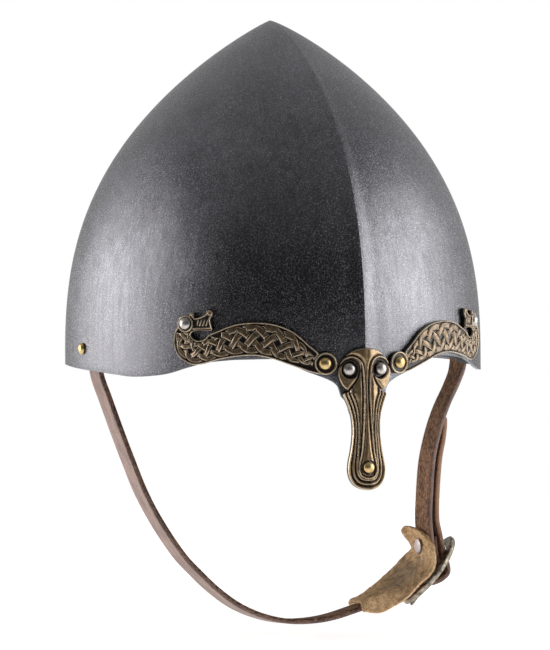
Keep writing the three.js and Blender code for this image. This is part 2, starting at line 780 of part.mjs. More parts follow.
/** A hole through a strap near the buckle, square to the buckle's plane. */
function prongSlotTool(from, to, low, high) {
  const box = new THREE.BoxGeometry(to - from, 2 * prongSlotHalfWidth, high - low);
  box.applyMatrix4(new THREE.Matrix4().makeBasis(
    strapPoint(buckleUp), new THREE.Vector3(0, 1, 0), strapPoint(buckleOut),
  ));
  const middle = strapPoint(atBuckle((from + to) / 2, (low + high) / 2));
  return box.translate(middle.x, middle.y, middle.z);
}

function strapRivetHole(side) {
  const reach = strapThickness + overrun;
  return rod(
    rivetStyles.side.shank + clearance,
    new THREE.Vector3(side * strapAcross - reach, 0, 0),
    new THREE.Vector3(side * strapAcross + reach, 0, 0),
    rivetSides,
  );
}

function longStrap() {
  const width = (share) => strapWidth * Math.min(
    taper(share, 0, longEndShare, 1 / 2, 1),
    taper(share, 1 - tipShare, 1, 1, tipWidthShare),
  );
  const body = strapSolid(longStrapRoute(), () => strapThickness, width);
  const tail = spread(tailShares);
  const punches = punchShares.map((share) => {
    const spot = tail[Math.round(share * (tail.length - 1))];
    const reach = new THREE.Vector3(strapThickness + clearance, 0, 0);
    return rod(punchRadius, strapPoint(spot).sub(reach), strapPoint(spot).add(reach));
  });
  const slot = prongSlotTool(
    -prongSlotBottomDepth,
    -prongSlotTopDepth,
    -overrun,
    overrun + strapThickness,
  );
  return cut(body, strapRivetHole(skullSide.right), slot, ...punches);
}

function shortStrap() {
  const thickness = (share) => taper(share, ...skiveShares, strapThickness, foldThickness);
  const width = (share) => strapWidth * taper(share, 0, shortEndShare, 1 / 2, 1);
  const body = strapSolid(shortStrapRoute(), thickness, width);
  const reach = prongRadius + clearance + foldThickness;
  const top = prongLoopRadius + prongRadius + clearance;
  const slot = prongSlotTool(-foldMiddle - reach, top, -foldMiddle - reach, foldMiddle + reach);
  return cut(body, strapRivetHole(skullSide.left), slot, foldRivetHole());
}

function foldRivetHole() {
  const reach = overrun + strapThickness;
  return rod(
    rivetStyles.fold.shank + clearance,
    new THREE.Vector3(foldRivetAcross - reach, 0, -foldRivetFall),
    new THREE.Vector3(foldRivetAcross + reach, 0, -foldRivetFall),
    rivetSides,
  );
}

// The buckle: an oval ring with a middle bar, and a prong that turns on the bar

const buckleSteps = 28;
const buckleSides = 8;

function buckleFrame() {
  const points = Array.from({ length: buckleSteps }, (_, step) => {
    const angle = (2 * Math.PI * step) / buckleSteps;
    const up = buckleHalfLength * Math.cos(angle);
    return strapPoint(atBuckle(up, 0), buckleHalfWidth * Math.sin(angle));
  });
  const ring = ringTube(points, rimRadius, buckleSides, strapPoint(buckleOut));
  const reach = new THREE.Vector3(0, buckleHalfWidth, 0);
  const middle = strapPoint(buckleMiddle);
  return join(ring, rod(barRadius, middle.clone().sub(reach), middle.clone().add(reach)));
}

const prongLoopSteps = 12;
const prongReach = buckleHalfLength + rimRadius + clearance;
const prongSides = 8;
const prongLoopRadius = barRadius + clearance + prongRadius;

function buckleProng() {
  const loop = Array.from({ length: prongLoopSteps }, (_, step) => {
    const angle = (2 * Math.PI * step) / prongLoopSteps;
    return strapPoint(atBuckle(prongLoopRadius * Math.sin(angle), prongLoopRadius * Math.cos(angle)));
  });
  const ring = ringTube(loop, prongRadius, prongSides, new THREE.Vector3(0, 1, 0));
  const level = Math.max(prongLoopRadius, rimRadius + clearance + prongRadius);
  const finger = rod(
    prongRadius,
    strapPoint(atBuckle(0, prongLoopRadius)),
    strapPoint(atBuckle(-prongReach, level)),
    prongSides,
  );
  return join(ring, finger);
}

// The suede guard behind the buckle. Each row is a station from its low end up: front edge,
// front shoulder, middle, back shoulder and back edge, each as across in shares of the skull's
// half width, sideways in shares of the strap's width, and fall in shares of the strap's fall
const padShares = [
  [[0.295, -0.75, 1.285], [0.292, -0.62, 1.246], [0.296, 0, 1.239], [0.308, 0.6, 1.24],
    [0.312, 0.75, 1.256]],
  [[0.38, -0.78, 1.3], [0.381, -0.62, 1.217], [0.379, 0, 1.209], [0.377, 0.56, 1.211],
    [0.373, 0.75, 1.226]],
  [[0.457, -0.81, 1.276], [0.457, -0.62, 1.208], [0.46, 0, 1.194], [0.447, 0.53, 1.18],
    [0.442, 0.75, 1.177]],
  [[0.525, -0.84, 1.238], [0.53, -0.6, 1.185], [0.532, 0, 1.162], [0.513, 0.53, 1.138],
    [0.507, 0.75, 1.131]],
  [[0.584, -0.875, 1.182], [0.59, -0.6, 1.138], [0.59, 0, 1.112], [0.577, 0.53, 1.088],
    [0.572, 0.75, 1.082]],
  [[0.644, -0.94, 1.136], [0.646, -0.6, 1.088], [0.646, 0, 1.055], [0.637, 0.53, 1.037],
    [0.634, 0.75, 1.032]],
  [[0.669, -0.97, 1.075], [0.657, -0.6, 1.033], [0.657, 0, 1.003], [0.655, 0.53, 0.997],
    [0.655, 0.75, 0.993]],
  [[0.667, -0.9, 1.018], [0.659, -0.6, 0.99], [0.658, 0, 0.966], [0.656, 0.53, 0.96],
    [0.656, 0.75, 0.957]],
  [[0.659, -0.625, 0.971], [0.652, -0.45, 0.955], [0.651, 0.125, 0.934], [0.64, 0.53, 0.918],
    [0.624, 0.75, 0.91]],
];
const padAcross = 8;
const padSteps = 16;

function padSurface() {
  const edges = padShares[0].map((_, edge) => new THREE.CatmullRomCurve3(padShares.map((row) => {
    const [across, sideways, fall] = row[edge];
    return new THREE.Vector3(across * skullHalfWidth, sideways * strapWidth, -fall * strapFallLength);
  })));
  return Array.from({ length: padSteps + 1 }, (_, step) => {
    const station = edges.map((edge) => edge.getPoint(step / padSteps));
    return new THREE.CatmullRomCurve3(station).getPoints(padAcross);
  });
}

function bucklePad() {
  const inner = padSurface();
  const outer = inner.map((row, i) => row.map((point, j) => {
    const along = inner[Math.min(i + 1, padSteps)][j].clone().sub(inner[Math.max(i - 1, 0)][j]);
    const across = row[Math.min(j + 1, padAcross)].clone().sub(row[Math.max(j - 1, 0)]);
    return point.clone().addScaledVector(along.cross(across).normalize(), -padThickness);
  }));
  return cut(plateBetween(inner, outer), foldRivetHole());
}

// Assembly

const helmet = new THREE.Group();
for (const [hand, side] of Object.entries(skullSide)) {
  helmet.add(named(`skull_${hand}_half`, cut(skullHalf(side), ...skullHoles(side)), steel));
  helmet.add(named(`brow_ornament_${hand}`, browOrnament(side), agedBrass));
  for (const [kind, { style, finish, over }] of Object.entries(rivetPlaces)) {
    const { place, direction, along } = rivetSpot(kind, side);
    const seat = over > 0 ? over + 2 * clearance : clearance;
    const depth = sheet + standOff(along) + leather + clearance;
    const rivet = seated(rivetShape(style, seat, depth), place, direction);
    helmet.add(named(`${kind}_rivet_${hand}`, rivet, finish));
  }
}
helmet.add(named('nose_plate', nosePlate(), agedBrass));
const ridgeDip = rivetStyles.tip.tail / Math.tan(frontEdge);
const tipDepth = sheet + 2 * clearance + ridgeDip;
const tipRivet = rivetShape('tip', nosePlateThickness + 2 * clearance, tipDepth);
helmet.add(named('nose_tip_rivet', seated(tipRivet, tipPlace, ridgeDirection), brightBrass));

helmet.add(named('liner_band', linerBand(), darkLeather));
for (let number = 0; number < tongueCount; number += 1) {
  helmet.add(named(`liner_tongue_${number + 1}`, linerTongue(number), darkLeather));
}
helmet.add(named('crown_lace', crownLace(), darkLeather));

// The side rivets carry the strap: spacer washer, strap, liner, then a burr washer
const spacerRadius = 5;
const spacerDip = 0.65;
const burrRadius = 4;
const burrThickness = 1;
const burrDip = 0.75;

function washer(radius, bore, from, to) {
  const profile = [[bore, from], [radius, from], [radius, to], [bore, to], [bore, from]];
  return closedCopy(new THREE.LatheGeometry(
    profile.map(([x, y]) => new THREE.Vector2(x, y)), rivetSides,
  ));
}

const strapOutside = wallAcross - strapAcross - strapThickness / 2;
const linerInside = sheet + linerSidePocket + leather + clearance;
for (const [hand, side] of Object.entries(skullSide)) {
  const bore = rivetStyles.side.shank + clearance;
  const spacer = washer(spacerRadius, bore, -strapOutside + clearance, -sheet - clearance - spacerDip);
  const burrTop = -linerInside - burrDip;
  const burr = washer(burrRadius, bore, burrTop - burrThickness, burrTop);
  const rivet = rivetShape('side', 2 * clearance, -burrTop + burrThickness + clearance);
  const spot = pivotSpot(side);
  const direction = sideDirection(side);
  helmet.add(named(`strap_spacer_${hand}`, seated(spacer, spot, direction), darkLeather));
  helmet.add(named(`strap_burr_${hand}`, seated(burr, spot, direction), brightBrass));
  helmet.add(named(`strap_rivet_${hand}`, seated(rivet, spot, direction), brightBrass));
}

const strap = new THREE.Group();
strap.position.set(0, -pivotForward, pivotHeight);
strap.rotation.x = -strapTilt;
strap.add(named('chin_strap_long', longStrap(), strapLeather));
strap.add(named('chin_strap_short', shortStrap(), strapLeather));
strap.add(named('buckle_frame', buckleFrame(), agedBrass));
strap.add(named('buckle_prong', buckleProng(), agedBrass));
strap.add(named('buckle_pad', bucklePad(), suede));
const foldRivet = rivetShape(
  'fold',
  strapThickness / 2 + padThickness + padSlopeDepth + 2 * clearance,
  strapThickness / 2 + foldThickness + 2 * clearance,
);
const foldSpot = new THREE.Vector3(foldRivetAcross, 0, -foldRivetFall);
strap.add(named('fold_rivet', seated(foldRivet, foldSpot, new THREE.Vector3(-1, 0, 0)), silver));
helmet.add(strap);

export default helmet;
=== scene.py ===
# A nasal helmet with cast ornaments, a leather liner and a buckled chin strap. Metres, +Z up,
# the front is -Y and the wearer's left is +X.

import math

import bmesh
import bpy
import numpy as np
from mathutils import Matrix, Vector


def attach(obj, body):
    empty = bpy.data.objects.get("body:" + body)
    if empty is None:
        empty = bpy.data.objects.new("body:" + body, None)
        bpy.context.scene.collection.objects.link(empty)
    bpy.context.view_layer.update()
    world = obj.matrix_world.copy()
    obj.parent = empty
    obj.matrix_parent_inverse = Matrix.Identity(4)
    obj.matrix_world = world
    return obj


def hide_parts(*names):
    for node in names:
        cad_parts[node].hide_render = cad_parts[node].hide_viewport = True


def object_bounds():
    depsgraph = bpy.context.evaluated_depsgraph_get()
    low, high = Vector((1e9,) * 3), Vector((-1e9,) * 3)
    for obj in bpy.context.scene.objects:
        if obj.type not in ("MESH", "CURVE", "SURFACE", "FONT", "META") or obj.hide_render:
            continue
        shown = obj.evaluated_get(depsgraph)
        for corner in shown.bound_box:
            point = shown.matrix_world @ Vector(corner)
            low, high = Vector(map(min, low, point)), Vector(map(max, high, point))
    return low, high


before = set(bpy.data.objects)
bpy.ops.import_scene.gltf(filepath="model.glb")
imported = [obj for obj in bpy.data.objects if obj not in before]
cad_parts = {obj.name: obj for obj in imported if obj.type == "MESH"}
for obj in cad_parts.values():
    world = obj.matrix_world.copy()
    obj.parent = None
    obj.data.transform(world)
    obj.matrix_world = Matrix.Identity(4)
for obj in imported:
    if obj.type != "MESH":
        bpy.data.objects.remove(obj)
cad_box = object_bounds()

mm = 0.001

# The camera stands a little to the wearer's right of the helmet, level with its rim, as the
# photograph was taken: a long lens from nine tenths of a metre.
camera_place = np.array([-309.2, -845.2, 38.8]) * mm
camera_right = (0.93837, -0.3456, -0.0043)
camera_up = (0.01063, 0.01643, 0.99981)
camera_back = (-0.34546, -0.93824, 0.01909)
camera_lens, camera_sensor = 101.6, 36
camera_data = bpy.data.cameras.new("camera")
camera_data.lens = camera_lens
camera_data.sensor_width = camera_data.sensor_height = camera_sensor
camera = bpy.data.objects.new("camera", camera_data)
bpy.context.collection.objects.link(camera)
turn = Matrix((camera_right, camera_up, camera_back)).transposed().to_4x4()
camera.matrix_world = Matrix.Translation(camera_place) @ turn
bpy.context.scene.camera = camera
bpy.context.scene.view_settings.view_transform = "Standard"


# The steel skull: two sheets of 1.6 mm, each pressed over a former and cut to the rim's line,
# then welded along the ridge and ground. Their lower front corners make the nose guard's core.
# The steel is blackened with oil, brushed downwards, and rubbed bright in specks; near the rim its
# colour is painted darker, as shade.

class Quantity:
    """A value in a node tree. Python's operators on it add the Math nodes that work it out."""

    def __init__(self, tree, socket=None):
        self.tree, self.socket = tree, socket

    def node(self, kind, settings=None, feeds=None, out=0):
        """Adds a node, sets it up, feeds its sockets, and gives one of its outputs."""
        made = self.tree.nodes.new(kind)
        for name, value in (settings or {}).items():
            setattr(made, name, value)
        for name, value in (feeds or {}).items():
            if isinstance(value, Quantity):
                self.tree.links.new(value.socket, made.inputs[name])
            else:
                made.inputs[name].default_value = value
        return Quantity(self.tree, made.outputs[out])

    def other(self, name):
        """Another output of the node that gave this value."""
        return Quantity(self.tree, self.socket.node.outputs[name])

    def part(self, axis):
        """One of a vector's three numbers."""
        return self.node("ShaderNodeSeparateXYZ", {}, {0: self}, axis)

    def vector(self, x, y, z):
        """A vector of three numbers, in this value's tree."""
        return self.node("ShaderNodeCombineXYZ", {}, {0: x, 1: y, 2: z})

    def stored(self, name, out="Fac"):
        """What the piece's own mesh holds under a name."""
        return self.node("ShaderNodeAttribute", {"attribute_name": name}, out=out)

    def math(self, operation, *others):
        return self.node("ShaderNodeMath", {"operation": operation}, dict(enumerate((self, *others))))

    def __add__(self, other):
        return self.math("ADD", other)

    def __mul__(self, other):
        return self.math("MULTIPLY", other)

    def __sub__(self, other):
        return self.math("SUBTRACT", other)

    def __rsub__(self, other):
        return self.node("ShaderNodeMath", {"operation": "SUBTRACT"}, {0: other, 1: self})

    def __truediv__(self, other):
        return self.math("DIVIDE", other)

    def __rtruediv__(self, other):
        return self.node("ShaderNodeMath", {"operation": "DIVIDE"}, {0: other, 1: self})

    def __pow__(self, other):
        return self.math("POWER", other)

    __radd__, __rmul__ = __add__, __mul__

    def between(self, low, high):
        """0 below low, 1 above high, and smooth between them."""
        feeds = {"Value": self, "From Min": low, "From Max": high}
        return self.node("ShaderNodeMapRange", {"interpolation_type": "SMOOTHSTEP"}, feeds)

    def stretched(self, scale):
        """A place with its axes scaled, so that a pattern on it lies long or flat."""
        return self.node("ShaderNodeVectorMath", {"operation": "MULTIPLY"}, {0: self, 1: scale})

    def noise(self, scale, detail=2.0, rough=0.5):
        feeds = {"Vector": self, "Scale": scale, "Detail": detail, "Roughness": rough}
        return self.node("ShaderNodeTexNoise", {}, feeds)

    def paint(self, under, over):
        """Mixes two colours by this value."""
        feeds = {0: self, 6: under, 7: over}
        return self.node("ShaderNodeMix", {"data_type": "RGBA"}, feeds, out=2)

    def bump(self, depth, strength):
        """A normal from this value as a height."""
        feeds = {"Height": self, "Distance": depth, "Strength": strength}
        return self.node("ShaderNodeBump", {}, feeds)


def rgb(red, green, blue):
    return (red, green, blue, 1.0)


def finish(name, paint):
    """A material. paint() is given the place on the piece and says what feeds the shader."""
    material = bpy.data.materials.new(name)
    material.use_nodes = True
    tree = material.node_tree
    tree.nodes.clear()
    place = Quantity(tree).node("ShaderNodeTexCoord", out="Object")
    shader = place.node("ShaderNodeBsdfPrincipled", {}, paint(place))
    ending = tree.nodes.new("ShaderNodeOutputMaterial")
    tree.links.new(shader.socket, ending.inputs["Surface"])
    return material


# The steel's colour is painted darker near the rim, as shade, up to this height
rim_shade_height = 45 * mm


def blackened_steel(place):
    grit = place.noise(2600, 2, 0.75)
    specks = grit.between(0.5, 0.66)
    streaks = place.stretched((1, 1, 0.04)).noise(520, 3, 0.6)
    clouds = place.noise(26, 4, 0.6)
    patches = place.stretched((1, 1, 0.3)).noise(9, 3, 0.5)
    rubbed = clouds.between(0.42, 0.66) * 0.5 + patches.between(0.4, 0.62) * 0.5
    glints = grit.between(0.6, 0.7)
    tone = specks * (0.25 + rubbed * 0.45) + streaks.between(0.35, 0.65) * 0.16 + rubbed * 0.2
    # Painted shade: the steel's colour darkens towards the rim.
    rim_shaded = tone * (0.45 + place.part("Z").between(0, rim_shade_height) * 0.55)
    blued = rim_shaded.paint(rgb(0.115, 0.112, 0.123), rgb(0.42, 0.42, 0.45))
    base = glints.paint(blued, rgb(0.7, 0.7, 0.73))
    rough = 0.17 + clouds * 0.12 + specks * 0.06 + glints * 0.33
    grain = grit * 1.6 + streaks * 0.5 + place.noise(700, 2) * 0.6
    return {
        "Base Color": base, "Metallic": 1.0, "Roughness": rough,
        "Normal": grain.bump(0.11 * mm, 0.8),
    }


steel = finish("blackened_steel", blackened_steel)

skull_half_width = 100 * mm
skull_half_depth = 117 * mm
skull_height = 170.7 * mm
sheet = 1.6 * mm
ridge_offset = 16 * mm
wall_top = 4.2 * mm
brow_arch = 9.2 * mm
nose_drop = 47.4 * mm
front_edge = math.acos(ridge_offset / (skull_half_width + ridge_offset))
depth_arc = skull_half_depth / math.sin(front_edge)
half_girth = front_edge * (skull_half_width + ridge_offset + depth_arc)
pressing = {
    "Half Width": skull_half_width, "Half Depth": skull_half_depth, "Height": skull_height,
    "Ridge Offset": ridge_offset, "Wall Top": wall_top, "Inside Drop": 1.7,
    "Crown Power": 2.584, "Shoulder Power": 1.083, "Depth Power": 0.88,
    "Keel Height": 1.1 * mm, "Keel Half Width": 7 * mm,
    "Nose Drop": nose_drop, "Nose Lean": 2.2 * mm, "Lean Power": 1.3, "Material": steel,
}
hands = (("right", -1), ("left", 1))


def new_tree(name, labels):
    """An empty geometry tree with a named input for each size: its start and its inputs."""
    tree = bpy.data.node_groups.new(name, "GeometryNodeTree")
    tree.interface.new_socket("Geometry", in_out="OUTPUT", socket_type="NodeSocketGeometry")
    kinds = {"Geometry": "Geometry", **dict.fromkeys(labels, "Float"), "Material": "Material"}
    for label, kind in kinds.items():
        tree.interface.new_socket(label, in_out="INPUT", socket_type=f"NodeSocket{kind}")
    start = Quantity(tree).node("NodeGroupInput")
    return start, {label: start.other(label) for label in kinds}


def end_tree(start, result, material):
    """Makes copies real, gives the whole its material and ends the tree, which it returns."""
    real = start.node("GeometryNodeRealizeInstances", {}, {0: result})
    made = start.node("GeometryNodeSetMaterial", {}, {"Geometry": real, "Material": material})
    start.tree.links.new(made.socket, start.tree.nodes.new("NodeGroupOutput").inputs[0])
    return start.tree


def grown(tree, inputs, mesh):
    """The plain mesh that a geometry tree makes from a mesh, with its inputs set."""
    thing = bpy.data.objects.new("growing", mesh)
    bpy.context.collection.objects.link(thing)
    modifier = thing.modifiers.new("tree", "NODES")
    modifier.node_group = tree
    for item in tree.interface.items_tree:
        if item.in_out == "INPUT" and item.name in inputs:
            modifier[item.identifier] = inputs[item.name]
    graph = bpy.context.evaluated_depsgraph_get()
    result = bpy.data.meshes.new_from_object(thing.evaluated_get(graph))
    bpy.data.objects.remove(thing)
    return result


def press_tree():
    """Lays what is drawn flat, as x along the rim, y height and z level, on the skull."""
    start, size = new_tree("press_on_skull", pressing)
    flat = start.node("GeometryNodeInputPosition")
    signed, height, level = (flat.part(axis) for axis in "XYZ")
    along = signed.math("ABSOLUTE")
    across = size["Half Width"] + size["Ridge Offset"]
    edge = (size["Ridge Offset"] / across).math("ARCCOSINE")
    arc_deep = size["Half Depth"] / edge.math("SINE")
    girth = edge * (across + arc_deep)
    arc = across + level
    angle = (size["Ridge Offset"] / arc).math("ARCCOSINE") * (along * 2 / girth - 1)
    top = size["Height"] + size["Inside Drop"] * level
    rise = ((height - size["Wall Top"]) / (top - size["Wall Top"])).math("MAXIMUM", 0)
    narrow = (1 - rise.math("MINIMUM", 1) ** size["Crown Power"]) ** (1 / size["Shoulder Power"])
    from_ridge = along.math("MINIMUM", girth - along) / size["Keel Half Width"]
    bead = (1 - from_ridge.between(0, 1)) * size["Keel Height"] / size["Half Depth"] + 1
    below = (size["Wall Top"] - height).math("MAXIMUM", 0)
    drop = below / (size["Nose Drop"] + size["Wall Top"])
    lean = size["Nose Lean"] * drop ** size["Lean Power"]
    side = signed.math("SIGN")
    x = side * (arc * angle.math("COSINE") - size["Ridge Offset"]) * narrow * bead
    deep = (arc_deep + level) * angle.math("SINE") * narrow ** size["Depth Power"]
    feeds = {"Geometry": start, "Position": start.vector(x, deep * bead - lean, height)}
    pressed = start.node("GeometryNodeSetPosition", {}, feeds)
    return end_tree(start, pressed, size["Material"])


press = press_tree()


def plain_mesh(name, places, faces=()):
    mesh = bpy.data.meshes.new(name)
    mesh.from_pydata([tuple(place) for place in places], [], [tuple(face) for face in faces])
    mesh.update()
    return mesh


def places_of(mesh):
    flat = np.zeros(len(mesh.vertices) * 3)
    mesh.vertices.foreach_get("co", flat)
    return flat.reshape(-1, 3)


def on_skull(flat):
    """Points drawn flat, pressed on the skull's face."""
    flat = np.asarray(flat, float)
    mesh = grown(press, pressing, plain_mesh("flat", flat.reshape(-1, 3)))
    places = places_of(mesh).reshape(flat.shape)
    bpy.data.meshes.remove(mesh)
    return places


def plate_faces(rows, columns, present=None, looped=False):
    """Faces of a closed plate between two grids of points, where a cell may be left open."""
    cells = columns if looped else columns - 1
    under = rows * columns

    def filled(row, column):
        column = column % columns if looped else column
        inside = 0 <= row < rows - 1 and 0 <= column < cells
        return inside and (present is None or bool(present[row, column]))

    faces = []
    for row in range(rows - 1):
        for column in range(cells):
            if not filled(row, column):
                continue
            after = (column + 1) % columns
            a, b = row * columns + column, row * columns + after
            c, d = (row + 1) * columns + after, (row + 1) * columns + column
            faces += [(a, b, c, d), (d + under, c + under, b + under, a + under)]
            for gone, p, q in (
                (not filled(row - 1, column), b, a), (not filled(row + 1, column), d, c),
                (not filled(row, column - 1), a, d), (not filled(row, column + 1), c, b),
            ):
                if gone:
                    faces.append((p, q, q + under, p + under))
    return faces


merge_gap, least_edge = 0.002 * mm, 0.001 * mm
sharp_corner = math.radians(50)


def closed_mesh(name, places, faces, soften=0.0, softened=None):
    """A closed mesh with its doubles merged and its faces outwards; chosen edges are rounded."""
    shape = bmesh.new()
    shape.from_mesh(plain_mesh(name, places, faces))
    bmesh.ops.remove_doubles(shape, verts=shape.verts, dist=merge_gap)
    bmesh.ops.dissolve_degenerate(shape, edges=shape.edges, dist=least_edge)
    loose = [vert for vert in shape.verts if not vert.link_faces]
    bmesh.ops.delete(shape, geom=loose, context="VERTS")
    bmesh.ops.recalc_face_normals(shape, faces=shape.faces)
    if soften:
        chosen = [
            edge for edge in shape.edges
            if len(edge.link_faces) == 2 and edge.calc_face_angle() > sharp_corner
            and (softened is None or softened(edge))
        ]
        bmesh.ops.bevel(
            shape, geom=chosen, offset=soften, segments=2, profile=0.5, affect="EDGES",
            clamp_overlap=True,
        )
    mesh = bpy.data.meshes.new(name)
    shape.to_mesh(mesh)
    shape.free()
    return mesh


def set_piece(name, mesh, material, body, slot, *nodes, crease=40):
    """A finished piece: its material, the body it rides on and the solids it stands for."""
    thing = bpy.data.objects.new(name, mesh)
    bpy.context.collection.objects.link(thing)
    mesh.materials.clear()
    mesh.materials.append(material)
    mesh.shade_smooth()
    mesh.set_sharp_from_angle(angle=math.radians(crease))
    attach(thing, body)
    if nodes:
        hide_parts(*nodes)
    return thing


def smooth_line(points, per_gap, closed=False):
    """A smooth line through points, with that many steps from each to the next."""
    points = np.asarray(points, float)
    if closed:
        chain = np.vstack([points[-1], points, points[:2]])
    else:
        chain = np.vstack([2 * points[0] - points[1], points, 2 * points[-1] - points[-2]])
    share = (np.arange(per_gap) / per_gap)[:, None]
    runs = []
    for a, b, c, d in zip(chain, chain[1:], chain[2:], chain[3:]):
        ab, bc, cd = (max(np.linalg.norm(q - p), 1e-9) ** 0.5 for p, q in ((a, b), (b, c), (c, d)))
        start = ((b - a) / ab - (c - a) / (ab + bc) + (c - b) / bc) * bc
        end = ((c - b) / bc - (d - b) / (bc + cd) + (d - c) / cd) * bc
        runs.append(
            b + start * share + (3 * (c - b) - 2 * start - end) * share**2
            + (2 * (b - c) + start + end) * share**3
        )
    if not closed:
        runs.append(points[-1:])
    return np.vstack(runs)


# The rim's line: along in shares of half the girth, height in shares of the brow's arch
rim_shares = [
    (0.031, -0.79), (0.0358, -0.29), (0.0447, -0.04), (0.0596, 0.185), (0.0745, 0.38),
    (0.0894, 0.61), (0.104, 0.815), (0.119, 1), (0.149, 0.99), (0.179, 0.91), (0.209, 0.79),
    (0.238, 0.54), (0.268, 0.24), (0.298, 0.1), (0.33, 0.04), (0.37, 0.12), (0.41, 0.2),
    (0.45, 0.25), (0.49, 0.3), (0.53, 0.34), (0.57, 0.35), (0.61, 0.33), (0.65, 0.3),
    (0.69, 0.26), (0.73, 0.22), (0.77, 0.18), (0.81, 0.14), (0.85, 0.1), (0.89, 0.07),
    (0.93, 0.04), (0.965, 0.02), (1, 0),
]
rim_line = smooth_line(np.array(rim_shares) * (half_girth, brow_arch), 4)
# The steel under the nose plate: half width and height in shares of its own sizes
nose_core_shares = [
    (0.02, -1), (0.3, -0.985), (0.52, -0.955), (0.66, -0.92), (0.78, -0.87), (0.84, -0.8),
    (0.8, -0.73), (0.74, -0.66), (0.69, -0.56), (0.68, -0.48), (0.72, -0.41), (0.84, -0.33),
    (1, -0.25),
]
nose_core_half_width, nose_core_drop = 7.9 * mm, 45.2 * mm
nose_core_top_share = 0.22
nose_core_columns, dome_rows = 9, 64
# The rows of the dome lie closer towards the point
row_crowding = 1.25
# The rim's edges are rounded, below this height
rim_soften, rim_zone = 0.35 * mm, 15 * mm


def rim_height(along):
    return np.interp(along, rim_line[:, 0], rim_line[:, 1])


def skull_blank(level):
    """One half's sheet drawn flat: rows from the nose's end over the rim to the point."""
    top = skull_height + pressing["Inside Drop"] * level
    core = np.linspace(0, 1, nose_core_columns)
    places = np.concatenate([core * nose_core_half_width, rim_line[:, 0]])
    core_top = np.full(nose_core_columns, -nose_core_top_share * nose_core_drop)
    foot = np.concatenate([core_top, rim_line[:, 1]])
    shares = np.concatenate([core, np.ones(len(rim_line))])
    nose = smooth_line(nose_core_shares, 2)[:-1] * (nose_core_half_width, nose_core_drop)
    rows = [(shares * width, np.full(len(places), drop)) for width, drop in nose]
    for share in 1 - (1 - np.linspace(0, 1, dome_rows)) ** row_crowding:
        rows.append((places, foot + (top - foot) * share))
    return np.array([np.column_stack([x, y, np.full(len(x), level)]) for x, y in rows])


def on_rim(edge):
    """Whether an edge belongs to the rim, and doesn't run along the ridge."""
    beside_ridge = any(abs(vert.co.x) > 0.05 * mm for vert in edge.verts)
    return beside_ridge and edge.verts[0].co.z < rim_zone


outer, inner = skull_blank(0), skull_blank(-sheet)
rows, columns = outer.shape[:2]
skull_present = np.ones((rows - 1, columns - 1), bool)
skull_present[: rows - dome_rows, nose_core_columns - 1:] = False
for hand, side in hands:
    flat = np.concatenate([outer.reshape(-1, 3), inner.reshape(-1, 3)]) * (side, 1, 1)
    places = on_skull(flat)
    on_ridge = (np.abs(flat[:, 0]) < 1e-9) | (np.abs(flat[:, 0]) > half_girth - 1e-6)
    places[on_ridge, 0] = 0
    faces = plate_faces(rows, columns, skull_present)
    mesh = closed_mesh(f"skull_{hand}", places, faces, rim_soften, on_rim)
    set_piece(f"skull_{hand}_sheet", mesh, steel, "helmet", "steel", f"skull_{hand}_half")


# The castings: brow ornaments and nose plate, cast in brass with their relief, chased, darkened
# in their hollows and rubbed bright on their edges, then bent to the steel and riveted on.

def aged_casting(dark, light):
    """Cast brass between two tints, black in its hollows and rubbed bright on its edges."""
    def paint(place):
        relief, wear = place.stored("relief"), place.stored("wear")
        mottle = place.noise(420, 3, 0.6)
        fine = place.noise(2600, 2, 0.6)
        high = (relief + (mottle - 0.5) * 0.25).between(0.32, 0.78)
        body = high.paint(rgb(0.01, 0.007, 0.005), mottle.between(0.35, 0.7).paint(dark, light))
        rubbed = (wear + (fine - 0.5) * 0.5).between(0.4, 1)
        rough = 0.36 - high * 0.08 - rubbed * 0.06 + fine * 0.1
        return {
            "Base Color": (rubbed * 0.75).paint(body, rgb(0.72, 0.58, 0.42)),
            "Metallic": high * 0.42 + 0.4, "Roughness": rough,
            "Coat Weight": 0.4, "Coat Roughness": 0.22,
            "Normal": (fine * 0.5 + mottle).bump(0.05 * mm, 0.7),
        }
    return paint


# How high a point stands over its surroundings, and how near the outline, to be rubbed bright
wear_height, wear_width, edge_wear = 0.075 * mm, 0.35 * mm, 0.5
# A corner of a cell this near the outline, in shares of the cell, moves onto it
snap_share = 0.55


def edge_distance(x, y, outline):
    """How far inside an outline each point lies, and its nearest point on the outline."""
    start, stop = outline, np.roll(outline, -1, axis=0)
    run = stop - start
    length = np.maximum((run**2).sum(1), 1e-18)
    points = np.column_stack([x.ravel(), y.ravel()])
    depth, nearest = np.empty(len(points)), np.empty_like(points)
    for first in range(0, len(points), 4000):
        some = points[first:first + 4000, None]
        share = np.clip(((some - start) * run).sum(2) / length, 0, 1)
        foot = start + share[..., None] * run
        gap = np.hypot(*np.moveaxis(some - foot, 2, 0))
        best = gap.argmin(1)
        pick = np.arange(len(best))
        crosses = (start[:, 1] > some[..., 1]) != (stop[:, 1] > some[..., 1])
        rise = np.where(np.abs(run[:, 1]) < 1e-15, 1e-15, run[:, 1])
        at = start[:, 0] + (some[..., 1] - start[:, 1]) / rise * run[:, 0]
        inside = ((crosses & (some[..., 0] < at)).sum(1) % 2) == 1
        depth[first:first + 4000] = np.where(inside, 1, -1) * gap[pick, best]
        nearest[first:first + 4000] = foot[pick, best]
    return depth.reshape(x.shape), nearest.reshape(*x.shape, 2)


